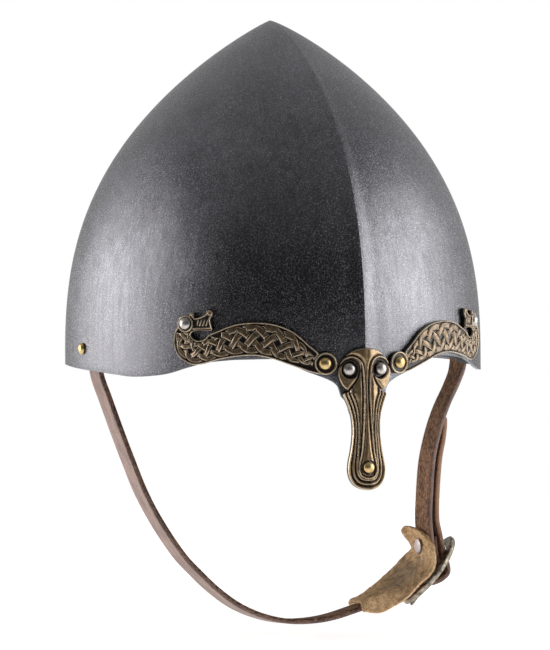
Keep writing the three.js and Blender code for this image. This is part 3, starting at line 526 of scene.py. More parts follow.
def casting(outline, level_at, cell, seat):
    """A flat casting: small square cells, closed up to the outline, under a relief."""
    low, high = outline.min(0) - 2 * cell, outline.max(0) + 2 * cell
    x, y = np.meshgrid(np.arange(low[0], high[0], cell), np.arange(low[1], high[1], cell))
    depth, nearest = edge_distance(x, y, outline)
    snap = np.abs(depth) < snap_share * cell
    x, y = np.where(snap, nearest[..., 0], x), np.where(snap, nearest[..., 1], y)
    depth = np.where(snap, 0, depth)
    level = level_at(x, y, np.maximum(depth, 0))
    smooth = level.copy()
    for _ in range(3):
        smooth[1:-1, 1:-1] = (
            smooth[1:-1, 1:-1] + smooth[:-2, 1:-1] + smooth[2:, 1:-1]
            + smooth[1:-1, :-2] + smooth[1:-1, 2:]
        ) / 5
    wear = np.clip((level - smooth) / wear_height, 0, 1)
    wear = np.maximum(wear, np.clip(1 - depth / wear_width, 0, 1) * edge_wear)
    held = depth >= 0
    number = np.arange(x.size).reshape(x.shape)
    corners = [number[:-1, :-1], number[:-1, 1:], number[1:, 1:], number[1:, :-1]]
    flags = np.stack([held.ravel()[c] for c in corners], -1).reshape(-1, 4)
    cells = np.stack(corners, -1).reshape(-1, 4)
    tops = [tuple(square) for square in cells[flags.all(1)]]
    for corner, flag in zip(cells[flags.sum(1) == 3], flags[flags.sum(1) == 3]):
        tops.append(tuple(corner[flag]))
    edges = {}
    for face in tops:
        for a, b in zip(face, face[1:] + face[:1]):
            if (b, a) in edges:
                del edges[(b, a)]
            else:
                edges[(a, b)] = True
    size = x.size
    faces = tops + [tuple(c + size for c in reversed(face)) for face in tops]
    faces += [(b, a, a + size, b + size) for a, b in edges]
    top = np.column_stack([x.ravel(), y.ravel(), level.ravel()])
    bottom = np.column_stack([x.ravel(), y.ravel(), np.full(size, seat)])
    used = np.unique(np.concatenate([np.array(face) for face in faces]))
    renumber = np.full(2 * size, -1)
    renumber[used] = np.arange(len(used))
    faces = [tuple(renumber[list(face)]) for face in faces]
    relief = (level - level[held].min()) / np.ptp(level[held])
    relief = np.concatenate([relief.ravel(), np.zeros(size)])[used]
    wear = np.concatenate([wear.ravel(), np.zeros(size)])[used]
    return np.concatenate([top, bottom])[used], faces, relief, wear


def store(mesh, name, values):
    """Keeps a number or a vector for each point of a mesh, under a name."""
    values = np.asarray(values, float)
    kind, field = ("FLOAT_VECTOR", "vector") if values.ndim > 1 else ("FLOAT", "value")
    mesh.attributes.new(name, kind, "POINT").data.foreach_set(field, values.ravel())


def pressed_casting(name, flat, faces, relief, wear, side, material, node):
    """A flat casting bent to the steel, on the wearer's right or left side."""
    mesh = plain_mesh(name, on_skull(flat * (side, 1, 1)), faces)
    if side < 0:
        mesh.flip_normals()
    store(mesh, "relief", relief)
    store(mesh, "wear", wear)
    return set_piece(name, mesh, material, "helmet", "aged_brass", node, crease=75)


def ramp(value, low, high):
    """0 below low, 1 above high, smooth between."""
    share = np.clip((value - low) / (high - low), 0, 1)
    return share * share * (3 - 2 * share)


def bead(distance, half_width):
    """The section of a raised round line, 1 on its middle and 0 past its sides."""
    return np.sqrt(np.clip(1 - (distance / half_width) ** 2, 0, 1))


# Each brow ornament is one casting: a ring for the boss rivet, a border round a plait of four
# flat strands, and a dragon's head with an open mouth that looks back over the brow.

brow_brass = finish("aged_cast_brass", aged_casting(
    rgb(0.165, 0.112, 0.065), rgb(0.34, 0.245, 0.155)))
boss_place = np.array([17.5, 7.1]) * mm
boss_ring = 4.9 * mm
eye_place = np.array([79.6, 24.2]) * mm
eye_ring = 3.9 * mm
brow_top = [
    (20.5, 11.2), (25, 15.5), (30, 20), (35, 22.7), (40, 24.2), (45, 24.8), (50, 24.8),
    (55, 24.3), (60, 22.9), (65, 20.9), (68.6, 19.4),
]
dragon_head = [
    (70, 17.9), (73, 17), (75.6, 17.8), (76.8, 19.6), (75.6, 20.8), (72, 21.3), (68.6, 21.1),
    (66.8, 21.3), (66.9, 22.6), (67.8, 26), (66.8, 27.8), (66.7, 29.2), (67.9, 30.2),
    (69.4, 29.8), (70, 28.4), (73.5, 26.9), (75.3, 26.8), (75.5, 28.4), (76.3, 29.2),
    (77.5, 28.6),
]
brow_bottom = [
    (84.6, 21), (85.3, 17.5), (84.7, 13.5), (82.8, 10.2), (80, 8), (76.5, 6.5), (72, 6.6),
    (68, 7.6), (64, 8.7), (58, 9.8), (52, 10.5), (46, 10.4), (40, 9.1), (34, 7), (28, 4.9),
    (23, 3.2),
]
# The plait's course from the boss ring to the dragon's neck
plait_points = [
    (23.4, 8.9), (26.4, 10.6), (30, 12.7), (35, 15.1), (41, 17), (47, 17.7), (53, 17.4),
    (59, 16.2), (65, 14.4), (70.5, 12.5), (75.7, 11.5), (79.9, 12.9), (81.6, 16), (81.3, 19),
]
strand_reach, strand_half_width = 0.79, 0.24
# How far the plait's line may be moved, and how far from the boss it starts to be
plait_shift, plait_free, plait_moved = 2.5 * mm, 6.5 * mm, 9 * mm
plait_margin, plait_spread = 0.75 * mm, 0.35
plait_pace = 0.6 * mm
# How high a strand stands, how much more where it passes over, and the width of the full height
strand_rise, strand_weave, strand_full_width = 0.85 * mm, 0.33 * mm, 3 * mm
# How near an upper strand cuts a lower one away, in shares of its half width, and how many steps
# the plait outruns its ends
strand_cut, plait_overrun = (0.95, 1.35), 0.6


def arc_round(middle, radius, first, last, steps=14):
    """Points on an arc round a middle, from one angle to another in degrees."""
    angles = np.radians(np.linspace(first, last, steps))
    return middle + radius * np.column_stack([np.cos(angles), np.sin(angles)])


brow_outline = smooth_line(np.vstack([
    arc_round(boss_place, boss_ring, -95, -325), np.array(brow_top) * mm,
    np.array(dragon_head) * mm, arc_round(eye_place, eye_ring, 115, -15),
    np.array(brow_bottom) * mm,
]), 3, closed=True)


def plait_course():
    """The plait's line, moved halfway between the borders, and how far they leave it to reach."""
    line = smooth_line(np.array(plait_points) * mm, 6)
    run = np.gradient(line, axis=0)
    square = np.column_stack([-run[:, 1], run[:, 0]]) / np.hypot(*run.T)[:, None]
    tries = np.linspace(-1, 1, 41)[:, None] * plait_shift
    spots = line[:, None] + tries * square[:, None]
    depth = edge_distance(spots[..., 0], spots[..., 1], brow_outline)[0]
    best = np.argmax(depth, 1)
    from_boss = np.hypot(*(line - boss_place).T)
    shift = tries[best, 0] * ramp(from_boss, plait_free, plait_moved)
    reach = np.minimum(depth.max(1) - plait_margin, plait_spread * from_boss)
    soft = np.ones(9) / 9
    shift, reach = (np.convolve(np.pad(row, 4, "edge"), soft, "valid") for row in (shift, reach))
    return line + shift[:, None] * square, reach


def plait(x, y, floor):
    """The level of four strands that pass over and under each other by turns."""
    way, half = plait_course()
    gaps = np.hypot(*np.diff(way, axis=0).T)
    paces = gaps / (plait_pace + 0.5 * (half[1:] + half[:-1]) / 2)
    passed = np.concatenate([[0], np.cumsum(paces)])
    gap = np.hypot(x[..., None] - way[:, 0], y[..., None] - way[:, 1])
    near = gap.argmin(-1)
    behind, ahead = np.maximum(near - 1, 0), np.minimum(near + 1, len(way) - 1)
    run = way[ahead] - way[behind]
    length = np.hypot(run[..., 0], run[..., 1])
    to = np.stack([x, y], -1) - way[near]
    forward = (to * run).sum(-1) / length
    offset = (run[..., 0] * to[..., 1] - run[..., 1] * to[..., 0]) / length
    pace = (passed[ahead] - passed[behind]) / length
    step = passed[-1] - (passed[near] + forward * pace)
    past_end = (forward * pace > plait_overrun) & (near == len(way) - 1)
    ended = past_end | (forward * pace < -plait_overrun) & (near == 0)
    wide = np.interp(passed[-1] - step, passed, half)
    phases = [(step + 2 * strand) % 8 for strand in range(4)]
    over = [-np.cos(np.pi * phase) * np.sin(np.pi * phase / 4) for phase in phases]
    shares = []
    for phase in phases:
        middle = strand_reach * wide * np.cos(np.pi * phase / 4)
        slope = strand_reach * wide * np.pi / 4 * np.sin(np.pi * phase / 4) * pace
        width = strand_half_width * wide
        shares.append(np.abs(offset - middle) / np.sqrt(1 + slope**2) / width)
    level = np.full(x.shape, floor)
    for strand in range(4):
        crest = strand_rise + strand_weave * over[strand]
        crest = floor + crest * np.clip(wide / strand_full_width, 0.5, 1)
        shape = np.sqrt(np.clip(1 - shares[strand] ** 4, 0, 1))
        for rival in range(4):
            if rival != strand:
                cut = ramp(shares[rival], *strand_cut)
                shape = np.where(over[rival] > over[strand], shape * cut, shape)
        level = np.maximum(level, floor + (crest - floor) * shape)
    return np.where(ended, floor, level)


brow_floor, brow_border, brow_seat, brow_cell = 1.35 * mm, 2.5 * mm, 0.25 * mm, 0.17 * mm
# The border's round line: how far its middle lies inside the edge, and its half width
border_inset, border_half = 0.32 * mm, 0.4 * mm
# The edge is rounded off by this much, between these distances inside it
brow_round, brow_round_span = 0.9 * mm, (-0.25 * mm, 0.3 * mm)
# The dragon's head begins above a leaning line and past a place along the brow
head_lean, head_pivot, flesh_rise = 0.2, 77 * mm, 0.45 * mm
head_heights, head_starts = (20.2 * mm, 21.2 * mm), (62 * mm, 63 * mm)
# Each curl of the dragon's mane, the lip along its mouth, and the knobs that end ear and snout
mane_pitch, mane_rise, mane_lean = 1.5 * mm, 0.55 * mm, 0.35
mane_left, mane_right, mane_low, mane_high = 68.2 * mm, 73.4 * mm, 23 * mm, 25.6 * mm
mane_soft, mane_crest = 0.8 * mm, np.array([69.4, 24]) * mm
lip_place, lip_half, lip_rise, lip_end = np.array([70, 22.3]) * mm, 0.5 * mm, 1.1 * mm, 76 * mm
lip_lean, ring_edge = 0.04, 0.1 * mm
knobs = [((68.2, 28.8), 1.35), ((76.3, 28.1), 1.1)]
knob_rise, collar_rise, collar_half, rivet_bed = 1.25 * mm, 1.15 * mm, 0.5 * mm, 1.65 * mm


def brow_level(x, y, depth):
    """The ornament's relief above the steel, from its place and its distance to the edge."""
    line = brow_floor + (brow_border - brow_floor) * bead(depth - border_inset, border_half)
    level = np.maximum(plait(x, y, brow_floor), line)
    head = ramp(y - head_lean * (x - head_pivot), *head_heights) * ramp(x, *head_starts) > 0.5
    flesh = np.maximum(brow_floor + flesh_rise, line)
    wave = (x - mane_crest[0] + mane_lean * (y - mane_crest[1])) / mane_pitch
    curls = np.clip(np.cos(wave * 2 * np.pi), 0, 1)
    curled = ramp(x, mane_left, mane_left + mane_soft)
    curled = curled * (1 - ramp(x, mane_right, mane_right + mane_soft))
    curled = curled * ramp(y, mane_low, mane_low + 0.75 * mane_soft)
    curled = curled * (1 - ramp(y, mane_high, mane_high + mane_soft))
    from_lip = y - lip_place[1] + lip_lean * (x - lip_place[0])
    lip = bead(from_lip, lip_half) * (x < lip_end)
    flesh = np.maximum(flesh + mane_rise * curls * curled, brow_floor + lip * lip_rise)
    level = np.where(head, flesh, level)
    for (across, up), radius in knobs:
        share = np.hypot(x - across * mm, y - up * mm) / (radius * mm)
        knob = np.maximum(level, brow_floor + knob_rise * bead(share, 1.0))
        level = np.where(share < 1, knob, level)
    for middle, ring in ((boss_place, boss_ring), (eye_place, eye_ring)):
        away = np.hypot(x - middle[0], y - middle[1])
        collar = brow_floor + collar_rise * bead(away - ring + collar_half, collar_half)
        level = np.where(away < ring - ring_edge, np.maximum(collar, rivet_bed), level)
    return level - brow_round * (1 - ramp(depth, *brow_round_span))


brow_flat = casting(brow_outline, brow_level, brow_cell, brow_seat)
for hand, side in hands:
    pressed_casting(f"brow_{hand}", *brow_flat, side, brow_brass, f"brow_ornament_{hand}")


# The nose plate is one casting: a domed head that runs down into a narrow tongue between two
# drop-shaped lobes, smooth cheeks beside it, and three rounded bands that follow the edge.

nose_half_width = 12.2 * mm
nose_outline_shares = [
    (0, 0.291), (0.35, 0.277), (0.66, 0.234), (0.87, 0.174), (0.987, 0.106), (0.987, 0.032),
    (0.89, -0.034), (0.76, -0.077), (0.65, -0.098), (0.7, -0.105), (0.838, -0.13),
    (0.755, -0.19), (0.64, -0.266), (0.565, -0.34), (0.533, -0.425), (0.545, -0.53),
    (0.625, -0.66), (0.705, -0.755), (0.725, -0.83), (0.66, -0.904), (0.485, -0.964),
    (0.255, -0.991), (0, -1),
]
flare_point, nose_steps = 10, 5
nose_line = smooth_line(np.array(nose_outline_shares) * (nose_half_width, nose_drop), nose_steps)
nose_outline = np.vstack([nose_line[:-1], (nose_line[1:] * (-1, 1))[::-1]])
tip_drop = 37.6 * mm
socket_place, socket_radius = np.array([6.9, 4.4]) * mm, 3.75 * mm
# The raised line that goes over a lobe, down beside the tongue and round the tip rivet, and the
# corners outside the plate that make an outline of it
tongue_steps = 4
tongue_line = smooth_line(np.array([
    (11.6, 6.9), (9.8, 8.8), (6.7, 9.9), (4.1, 9.1), (2.4, 7.2), (1.75, 4.2), (1.45, 0),
    (1.3, -5.5), (1.5, -13.5), (1.95, -22.3), (2.8, -31.1), (3.7, -35.2), (4.2, -38.2),
    (3.3, -40.9), (1.7, -42), (0, -42.3),
]) * mm, tongue_steps)
tongue_corners = np.array([(-3, -42.3), (-3, 20), (16, 20)]) * mm
tongue_side = tongue_line[5 * tongue_steps:12 * tongue_steps]
# The groove that parts a lobe from the cheek and the line over it
lobe_line = smooth_line(np.array([
    (8.6, -5.1), (6.4, -2.9), (4.8, -0.8), (3.7, 1.3), (3.2, 3.8), (3.5, 6.2), (4.8, 8.1),
    (6.9, 8.8), (9.2, 8), (10.9, 6.4), (14, 4), (14, -4),
]) * mm, 4, closed=True)
# How far apart the three bands lie, at drops below the rim's level
band_drops = np.array([9, 17, 27, 38, 47]) * mm
band_paces = np.array([1.5, 1.15, 1.15, 1.75, 2.05]) * mm
band_lines, band_half, cheek_edge = (0.36, 1.33, 2.33), 0.42, 2.85
# How fast the steel falls away beside its ridge, probed from the plate's top to its end
keel_steps, keel_probe = 24, 3 * mm
keel_drops = np.linspace(14, -47, keel_steps) * mm
keel_spots = on_skull([(x, y, 0) for x in (0.01 * mm, keel_probe) for y in keel_drops])
keel_heights = keel_spots[:keel_steps, 2][::-1]
keel_fall = (keel_spots[keel_steps:, 1] - keel_spots[:keel_steps, 1])[::-1] / keel_probe
nose_floor, nose_rise, groove, groove_sink = 1.3 * mm, 1.15 * mm, 0.42 * mm, 0.15 * mm
cheek_swell, panel_swell, lobe_swell = 1.5 * mm, 1.5 * mm, 1.6 * mm
panel_rise, lobe_rise, lobe_inset = 1.15 * nose_rise, 1.1 * nose_rise, 0.2 * mm
# How far outside the outline the panel starts to swell, and over what width
panel_edge, panel_edge_swell = 0.6 * mm, 1.6 * mm
# How far the cheeks keep off the tongue, and half the tongue's width at its foot
tongue_clear, tongue_foot = 0.75 * mm, 5 * mm
# The bowl for the rivet in each lobe: how deep, how high its wall, and between what distances
# from the socket's edge the wall rises
bowl_sink, bowl_rise, bowl_wall = 0.4 * mm, 1.9 * mm, (-0.6 * mm, 0.9 * mm)
nose_round, nose_round_span = 0.7 * mm, (-0.25 * mm, 0.35 * mm)
nose_seat, nose_cell = 0.25 * mm, 0.145 * mm
tip_bed_radius, tip_bed = 3.3 * mm, 1.5 * mm
# The side's line runs on upwards from its start by this many of its steps
side_extra_steps = 6


def line_gap(x, y, line):
    """How far each point lies from a line."""
    start, run = line[:-1], np.diff(line, axis=0)
    best = np.full(x.shape, np.inf)
    for (sx, sy), (rx, ry) in zip(start, run):
        share = np.clip(((x - sx) * rx + (y - sy) * ry) / (rx * rx + ry * ry), 0, 1)
        best = np.minimum(best, np.hypot(x - sx - share * rx, y - sy - share * ry))
    return best


def swell(distance, width):
    """A rounded shoulder: 0 on its line and 1 from that width inwards."""
    return np.sqrt(1 - (1 - np.clip(distance / width, 0, 1)) ** 2)


def nose_level(x, y, depth):
    """The plate's relief above the steel, from its place and its distance to the edge."""
    away = np.abs(x)
    side = nose_line[flare_point * nose_steps:]
    side = np.vstack([side[0] + side_extra_steps * (side[0] - side[1]), side])
    from_side, from_tongue = line_gap(away, y, side), line_gap(away, y, tongue_line)
    tongue_half = np.interp(-y, -tongue_side[:, 1], tongue_side[:, 0], right=tongue_foot)
    within = edge_distance(away, y, np.vstack([tongue_line, tongue_corners]))[0] > 0
    lobe = edge_distance(away, y, lobe_line)[0]
    in_paces = from_side / np.interp(-y, band_drops, band_paces)
    bands = np.maximum.reduce([bead(in_paces - line, band_half) ** 2 for line in band_lines])
    inside = np.minimum((in_paces - cheek_edge) * band_paces.min(), -lobe - groove)
    inside = np.minimum(inside, away - tongue_half - tongue_clear)
    bands = np.where(in_paces < cheek_edge, bands, 0)
    level = nose_floor + nose_rise * np.maximum(bands, swell(inside, cheek_swell))
    panel = swell(from_tongue - 2 * groove, panel_swell)
    panel = panel * swell(depth + panel_edge, panel_edge_swell)
    level = np.where(within, nose_floor + panel_rise * panel, level)
    domed = nose_floor + lobe_rise * swell(lobe - lobe_inset, lobe_swell)
    level = np.where(lobe > 0, domed, level)
    level = np.where(np.abs(lobe) < groove, nose_floor - groove_sink, level)
    level = np.maximum(level, nose_floor + panel_rise * bead(from_tongue, groove))
    from_eye = np.hypot(away - socket_place[0], y - socket_place[1]) - socket_radius
    bowl = nose_floor - bowl_sink + bowl_rise * ramp(from_eye, *bowl_wall)
    level = np.where(lobe > 0, np.minimum(level, bowl), level)
    fall = np.interp(y, keel_heights, keel_fall)
    level -= fall * np.maximum(keel_probe - away, 0) ** 2 / (2 * keel_probe)
    level = np.where(np.hypot(x, y + tip_drop) < tip_bed_radius, tip_bed, level)
    return level - nose_round * (1 - ramp(depth, *nose_round_span))


# The brows' cast brass in lighter tints: painted light for the brighter look of the plate's proud,
# smooth faces.
nose_brass_painted_lighter = finish("cast_brass_painted_lighter", aged_casting(
    rgb(0.26, 0.175, 0.09), rgb(0.46, 0.33, 0.19)))
nose_flat = casting(nose_outline, nose_level, nose_cell, nose_seat)
pressed_casting("nose_guard_plate", *nose_flat, 1, nose_brass_painted_lighter, "nose_plate")


# Rivets hold the castings, the liner and the strap. Each has a domed head outside, a shank
# through the stack, and a tail that is upset over the liner. The dragons' eyes and the lobes have
# silver-coloured ones, and the others are polished brass.

def polished(light, dark, rough):
    def paint(place):
        tarnish = place.noise(900, 3, 0.6)
        scratch = place.stretched((1, 1, 0.12)).noise(3800, 2)
        tone = (tarnish * 0.7 + scratch * 0.3).between(0.35, 0.65)
        return {
            "Base Color": tone.paint(dark, light), "Metallic": 1.0,
            "Roughness": rough + tarnish * 0.12,
            "Normal": (scratch + tarnish * 2).bump(0.02 * mm, 0.5),
        }
    return paint


rivet_brass = finish("polished_brass", polished(rgb(0.84, 0.64, 0.32), rgb(0.55, 0.38, 0.16), 0.3))
rivet_silver = finish("nickel_silver", polished(rgb(0.7, 0.66, 0.63), rgb(0.4, 0.37, 0.35), 0.33))
# Head radius, dome height, shank radius, tail radius and tail height of each kind
rivet_sizes = {
    "eye": (2.7, 1.9, 1.2, 2.1, 0.9), "tip": (2.5, 1.6, 1.1, 1.9, 0.8),
    "boss": (2.7, 1.8, 1.3, 2.3, 0.9), "side": (2.8, 1.9, 1.5, 2.6, 1),
    "back": (2.8, 1.9, 1.3, 2.4, 0.9), "fold": (3.8, 0.7, 1.1, 2.3, 0.7),
}
size_names = ("head", "dome", "shank", "tail", "tail_rise")


def copies_on(points, shape, turned, across, tall):
    """A copy of a shape on each point, turned, that wide and that tall."""
    size = points.vector(across, across, tall)
    feeds = {"Points": points, "Instance": shape, "Rotation": turned, "Scale": size}
    return points.node("GeometryNodeInstanceOnPoints", {}, feeds)


def joined(*groups):
    """Several geometries as one."""
    whole = groups[0].node("GeometryNodeJoinGeometry")
    for group in groups:
        whole.tree.links.new(group.socket, whole.socket.node.inputs[0])
    return whole


def read_points(start, name, kind="FLOAT"):
    """What a tree's own mesh holds under a name."""
    return start.node("GeometryNodeInputNamedAttribute", {"data_type": kind}, {"Name": name})


def turned_to(vector):
    """The turn that brings a shape's height along a vector."""
    return vector.node("FunctionNodeAlignRotationToVector", {"axis": "Z"}, {"Vector": vector})


def rivet_tree():
    """Sets a rivet on each point: head up, shank down to its depth, tail below."""
    start, given = new_tree("set_rivets", [])
    outward = read_points(start, "out", "FLOAT_VECTOR")
    spot = start.node("GeometryNodeInputPosition")

    def half_ball(limit):
        place = start.vector(spot.part("X"), spot.part("Y"), spot.part("Z").math(limit, 0))
        ball = {"Segments": 32, "Rings": 16, "Radius": 1.0}
        whole = start.node("GeometryNodeMeshUVSphere", {}, ball)
        return start.node("GeometryNodeSetPosition", {}, {"Geometry": whole, "Position": place})

    def copies(shape, across, tall, sunk):
        feeds = {0: outward, 3: sunk}
        down = outward.node("ShaderNodeVectorMath", {"operation": "SCALE"}, feeds)
        spots = start.node("GeometryNodeSetPosition", {}, {"Geometry": start, "Offset": down})
        return copies_on(spots, shape, turned_to(outward), across, tall)

    head, dome, shank, tail, tail_rise, depth = (
        read_points(start, name) for name in (*size_names, "depth")
    )
    rod = {"Vertices": 20, "Radius": 1.0, "Depth": 1.0}
    post = start.node("GeometryNodeMeshCylinder", {}, rod)
    rivets = joined(
        copies(half_ball("MAXIMUM"), head, dome, 0.0),
        copies(post, shank, depth, depth * -0.5),
        copies(half_ball("MINIMUM"), tail, tail_rise, depth * -1),
    )
    return end_tree(start, rivets, given["Material"])


rivet_setting = rivet_tree()


def set_rivets(name, rivets, material, body, slot):
    """rivets: for each one its kind, seat, outward direction, depth and the solid it stands for."""
    kinds, seats, outs, depths, nodes = zip(*rivets)
    mesh = plain_mesh(name, seats)
    sizes = np.array([rivet_sizes[kind] for kind in kinds]) * mm
    for label, values in zip(size_names, sizes.T):
        store(mesh, label, values)
    store(mesh, "depth", depths)
    store(mesh, "out", outs)
    result = grown(rivet_setting, {"Material": material}, mesh)
    return set_piece(name, result, material, body, slot, *nodes, crease=50)


def skull_rivet(kind, place, seat, node):
    """A rivet square to the steel, whose head starts at a level above it."""
    along, height = place
    probe = 0.5 * mm
    spots = np.array([
        (along, height, 0), (along + probe, height, 0), (along - probe, height, 0),
        (along, height + probe, 0), (along, height - probe, 0),
    ])
    middle, ahead, behind, above, below = on_skull(spots)
    out = np.cross(ahead - behind, above - below)
    out = out / np.linalg.norm(out)
    return (kind, middle + out * seat, out, seat + liner_depth, node)


liner_depth = sheet + 2.6 * mm
over_nose, over_brow, over_steel = 1.95 * mm, 1.85 * mm, 0.05 * mm
lobe_place, back_place = np.array([7.2, 4.6]) * mm, np.array([290, 14]) * mm
brass_rivets, silver_rivets = [], []
for hand, side in hands:
    mirror = (side, 1)
    brass_rivets += [
        skull_rivet("boss", boss_place * mirror, over_brow, f"brow_boss_rivet_{hand}"),
        skull_rivet("back", back_place * mirror, over_steel, f"liner_back_rivet_{hand}"),
    ]
    silver_rivets += [
        skull_rivet("eye", lobe_place * mirror, over_nose, f"nasal_eye_rivet_{hand}"),
        skull_rivet("eye", eye_place * mirror, over_brow, f"dragon_eye_rivet_{hand}"),
    ]
tip = on_skull([(0.001 * mm, -tip_drop, 0)])[0]
tip_seat, tip_depth = 1.6 * mm, 4.1 * mm
tip_spot = (0, tip[1] - tip_seat, tip[2])
brass_rivets.append(("tip", tip_spot, (0, -1, 0), tip_depth, "nose_tip_rivet"))
pivot_forward, pivot_height = 16 * mm, 12 * mm
pivot_along = half_girth / 2 - math.asin(pivot_forward / depth_arc) * half_girth / (2 * front_edge)
wall_across = on_skull([(pivot_along, pivot_height, 0)])[0][0]
side_seat, side_depth = 0.3 * mm, 12.95 * mm
for hand, side in hands:
    seat = (side * (wall_across + side_seat), -pivot_forward, pivot_height)
    depth = side_seat + side_depth
    brass_rivets.append(("side", seat, (side, 0, 0), depth, f"strap_rivet_{hand}"))
set_rivets("brass_rivets", brass_rivets, rivet_brass, "helmet", "bright_brass")
set_rivets("silver_rivets", silver_rivets, rivet_silver, "helmet", "silver")


# The liner hangs inside: a head band of thin dark leather riveted to the steel, pushed in at the
# sides to leave the strap its pocket, and eight tongues sewn to it that a lace draws together
# under the crown. The leather is soft, wrinkled and matt.

def liner_leather(place):
    pores = place.node("ShaderNodeTexVoronoi", {}, {"Vector": place, "Scale": 1100.0})
    creases = place.noise(60, 5, 0.65)
    wear = place.noise(35, 3)
    base = wear.between(0.35, 0.7).paint(rgb(0.016, 0.016, 0.019), rgb(0.05, 0.047, 0.048))
    return {
        "Base Color": base, "Roughness": 0.5 + wear * 0.25,
        "Normal": (pores * 0.3 + creases * 2).bump(0.35 * mm, 0.7),
    }


liner_finish = finish("liner_leather", liner_leather)
leather = 1.8 * mm
liner_gap, side_pocket = 0.5 * mm, 7.2 * mm
liner_setback, liner_floor, liner_top = 2.6 * mm, 0.6 * mm, 31 * mm
pocket_start, pocket_end = (0.29, 0.38), (0.53, 0.66)
band_columns, band_rows = 340, 20
band_soften, tongue_soften = 0.45 * mm, 0.4 * mm
# How deep and how long the wrinkles are
band_wrinkles, tongue_wrinkles = (0.5 * mm, 22 * mm), (0.55 * mm, 26 * mm)


def stand_off(along):
    """How far the band stands off the steel."""
    share = np.abs(along) / half_girth
    pushed_in = ramp(share, *pocket_start) - ramp(share, *pocket_end)
    return liner_gap + (side_pocket - liner_gap) * pushed_in


def wrinkles(x, y, depth, scale, seed):
    """Soft random waves over a surface, at most that deep."""
    waves = np.random.default_rng(seed)
    total = np.zeros(np.shape(x))
    for _ in range(14):
        angle, phase = waves.uniform(0, 2 * np.pi, 2)
        length = scale * waves.uniform(0.5, 1.8)
        total += np.sin((x * np.cos(angle) + y * np.sin(angle)) * 2 * np.pi / length + phase)
    return depth * (0.5 + 0.5 * np.tanh(total / 3))


def band_grid(inward):
    """The band drawn flat: its outer face at 0 inward, and its inner face at 1."""
    turn = np.arange(band_columns) / band_columns
    along = np.where(turn < 0.5, turn, turn - 1) * 2 * half_girth
    low = np.maximum(rim_height(np.abs(along)) + liner_setback, liner_floor)
    share = np.linspace(0, 1, band_rows)[:, None]
    height = low + (liner_top - low) * share
    x = np.broadcast_to(along, height.shape)
    round_head = np.broadcast_to(turn * 2 * half_girth, height.shape)
    soft = wrinkles(round_head, height, *band_wrinkles, 3)
    level = -sheet - stand_off(x) - (leather + soft) * inward
    return np.stack([x, height, level], -1)


band_places = on_skull(np.concatenate([band_grid(inward).reshape(-1, 3) for inward in (0, 1)]))
band_faces = plate_faces(band_rows, band_columns, looped=True)
band_mesh = closed_mesh("liner_band", band_places, band_faces, band_soften)
set_piece("liner_head_band", band_mesh, liner_finish, "helmet", "dark_leather", "liner_band")

tongue_count = 8
tongue_base, crown_height = 25 * mm, 124 * mm
tongue_half_width, tongue_length = 33 * mm, 110 * mm
tongue_offset = leather + 0.6 * mm
tongue_width_shares = [1, 0.98, 0.88, 0.72, 0.52, 0.34, 0.24]
crown_sweep, lace_sweep = math.radians(78), math.radians(73)
tongue_rows, tongue_columns = 60, 26
lace_hole, lace_hole_reach = 3.4 * mm, 6 * mm


def liner_dome(turn, sweep, depth):
    """Points of the liner's dome: turn round the head from 0 to 1, and sweep up from the band."""
    turn, sweep, depth = np.broadcast_arrays(turn, sweep, depth)
    whole = turn % 1
    along = np.where(whole < 0.5, whole, whole - 1) * 2 * half_girth
    level = -sheet - stand_off(along) - tongue_offset - depth
    foot = on_skull(np.stack([along, np.full(along.shape, tongue_base), level], -1))
    reach = np.cos(sweep)
    rise = (crown_height - depth - tongue_base) * np.sin(sweep)
    return np.stack([foot[..., 0] * reach, foot[..., 1] * reach, tongue_base + rise], -1)


def tongue_mesh(number):
    """One tongue of the liner, from the band to the crown."""
    middle = (number + 0.5) / tongue_count
    half_turn = tongue_half_width / (2 * half_girth)
    row = np.linspace(0, 1, tongue_rows)[:, None]
    width = np.interp(row, np.linspace(0, 1, len(tongue_width_shares)), tongue_width_shares)
    sweep = crown_sweep * row
    spread = width / np.maximum(np.cos(sweep), width / 2)
    share = np.linspace(-1, 1, tongue_columns)[None]
    turn = middle + share * half_turn * spread
    across, up = share * tongue_half_width * width, row * tongue_length
    soft = wrinkles(across, up, *tongue_wrinkles, 20 + number)
    grids = [liner_dome(turn, sweep, depth) for depth in (0 * soft, leather + soft)]
    places = np.concatenate([grid.reshape(-1, 3) for grid in grids])
    faces = plate_faces(tongue_rows, tongue_columns)
    return closed_mesh(f"tongue_{number + 1}", places, faces, tongue_soften)


def bored(mesh, cutters):
    """The mesh with every cutter's shape taken out of it."""
    blank = bpy.data.objects.new("blank", mesh)
    tool = bpy.data.objects.new("tool", cutters)
    for thing in (blank, tool):
        bpy.context.collection.objects.link(thing)
    modifier = blank.modifiers.new("bore", "BOOLEAN")
    modifier.operation, modifier.solver, modifier.object = "DIFFERENCE", "EXACT", tool
    graph = bpy.context.evaluated_depsgraph_get()
    result = bpy.data.meshes.new_from_object(blank.evaluated_get(graph))
    for thing in (blank, tool):
        bpy.data.objects.remove(thing)
    return result


def bore(*holes):
    """Round cutters, each a middle, a direction, a radius and a half length."""
    shape = bmesh.new()
    for middle, direction, radius, reach in holes:
        turn = Vector(direction).to_track_quat("Z", "Y").to_matrix().to_4x4()
        bmesh.ops.create_cone(
            shape, cap_ends=True, segments=28, radius1=radius, radius2=radius, depth=2 * reach,
            matrix=Matrix.Translation(middle) @ turn,
        )
    mesh = bpy.data.meshes.new("bore")
    shape.to_mesh(mesh)
    shape.free()
    return mesh


for number in range(tongue_count):
    hole = liner_dome((number + 0.5) / tongue_count, lace_sweep, leather / 2)
    eyelet = bore((hole, (0, 0, 1), lace_hole, lace_hole_reach))
    set_piece(
        f"tongue_{number + 1}_of_liner", bored(tongue_mesh(number), eyelet), liner_finish,
        "helmet", "dark_leather", f"liner_tongue_{number + 1}",
    )


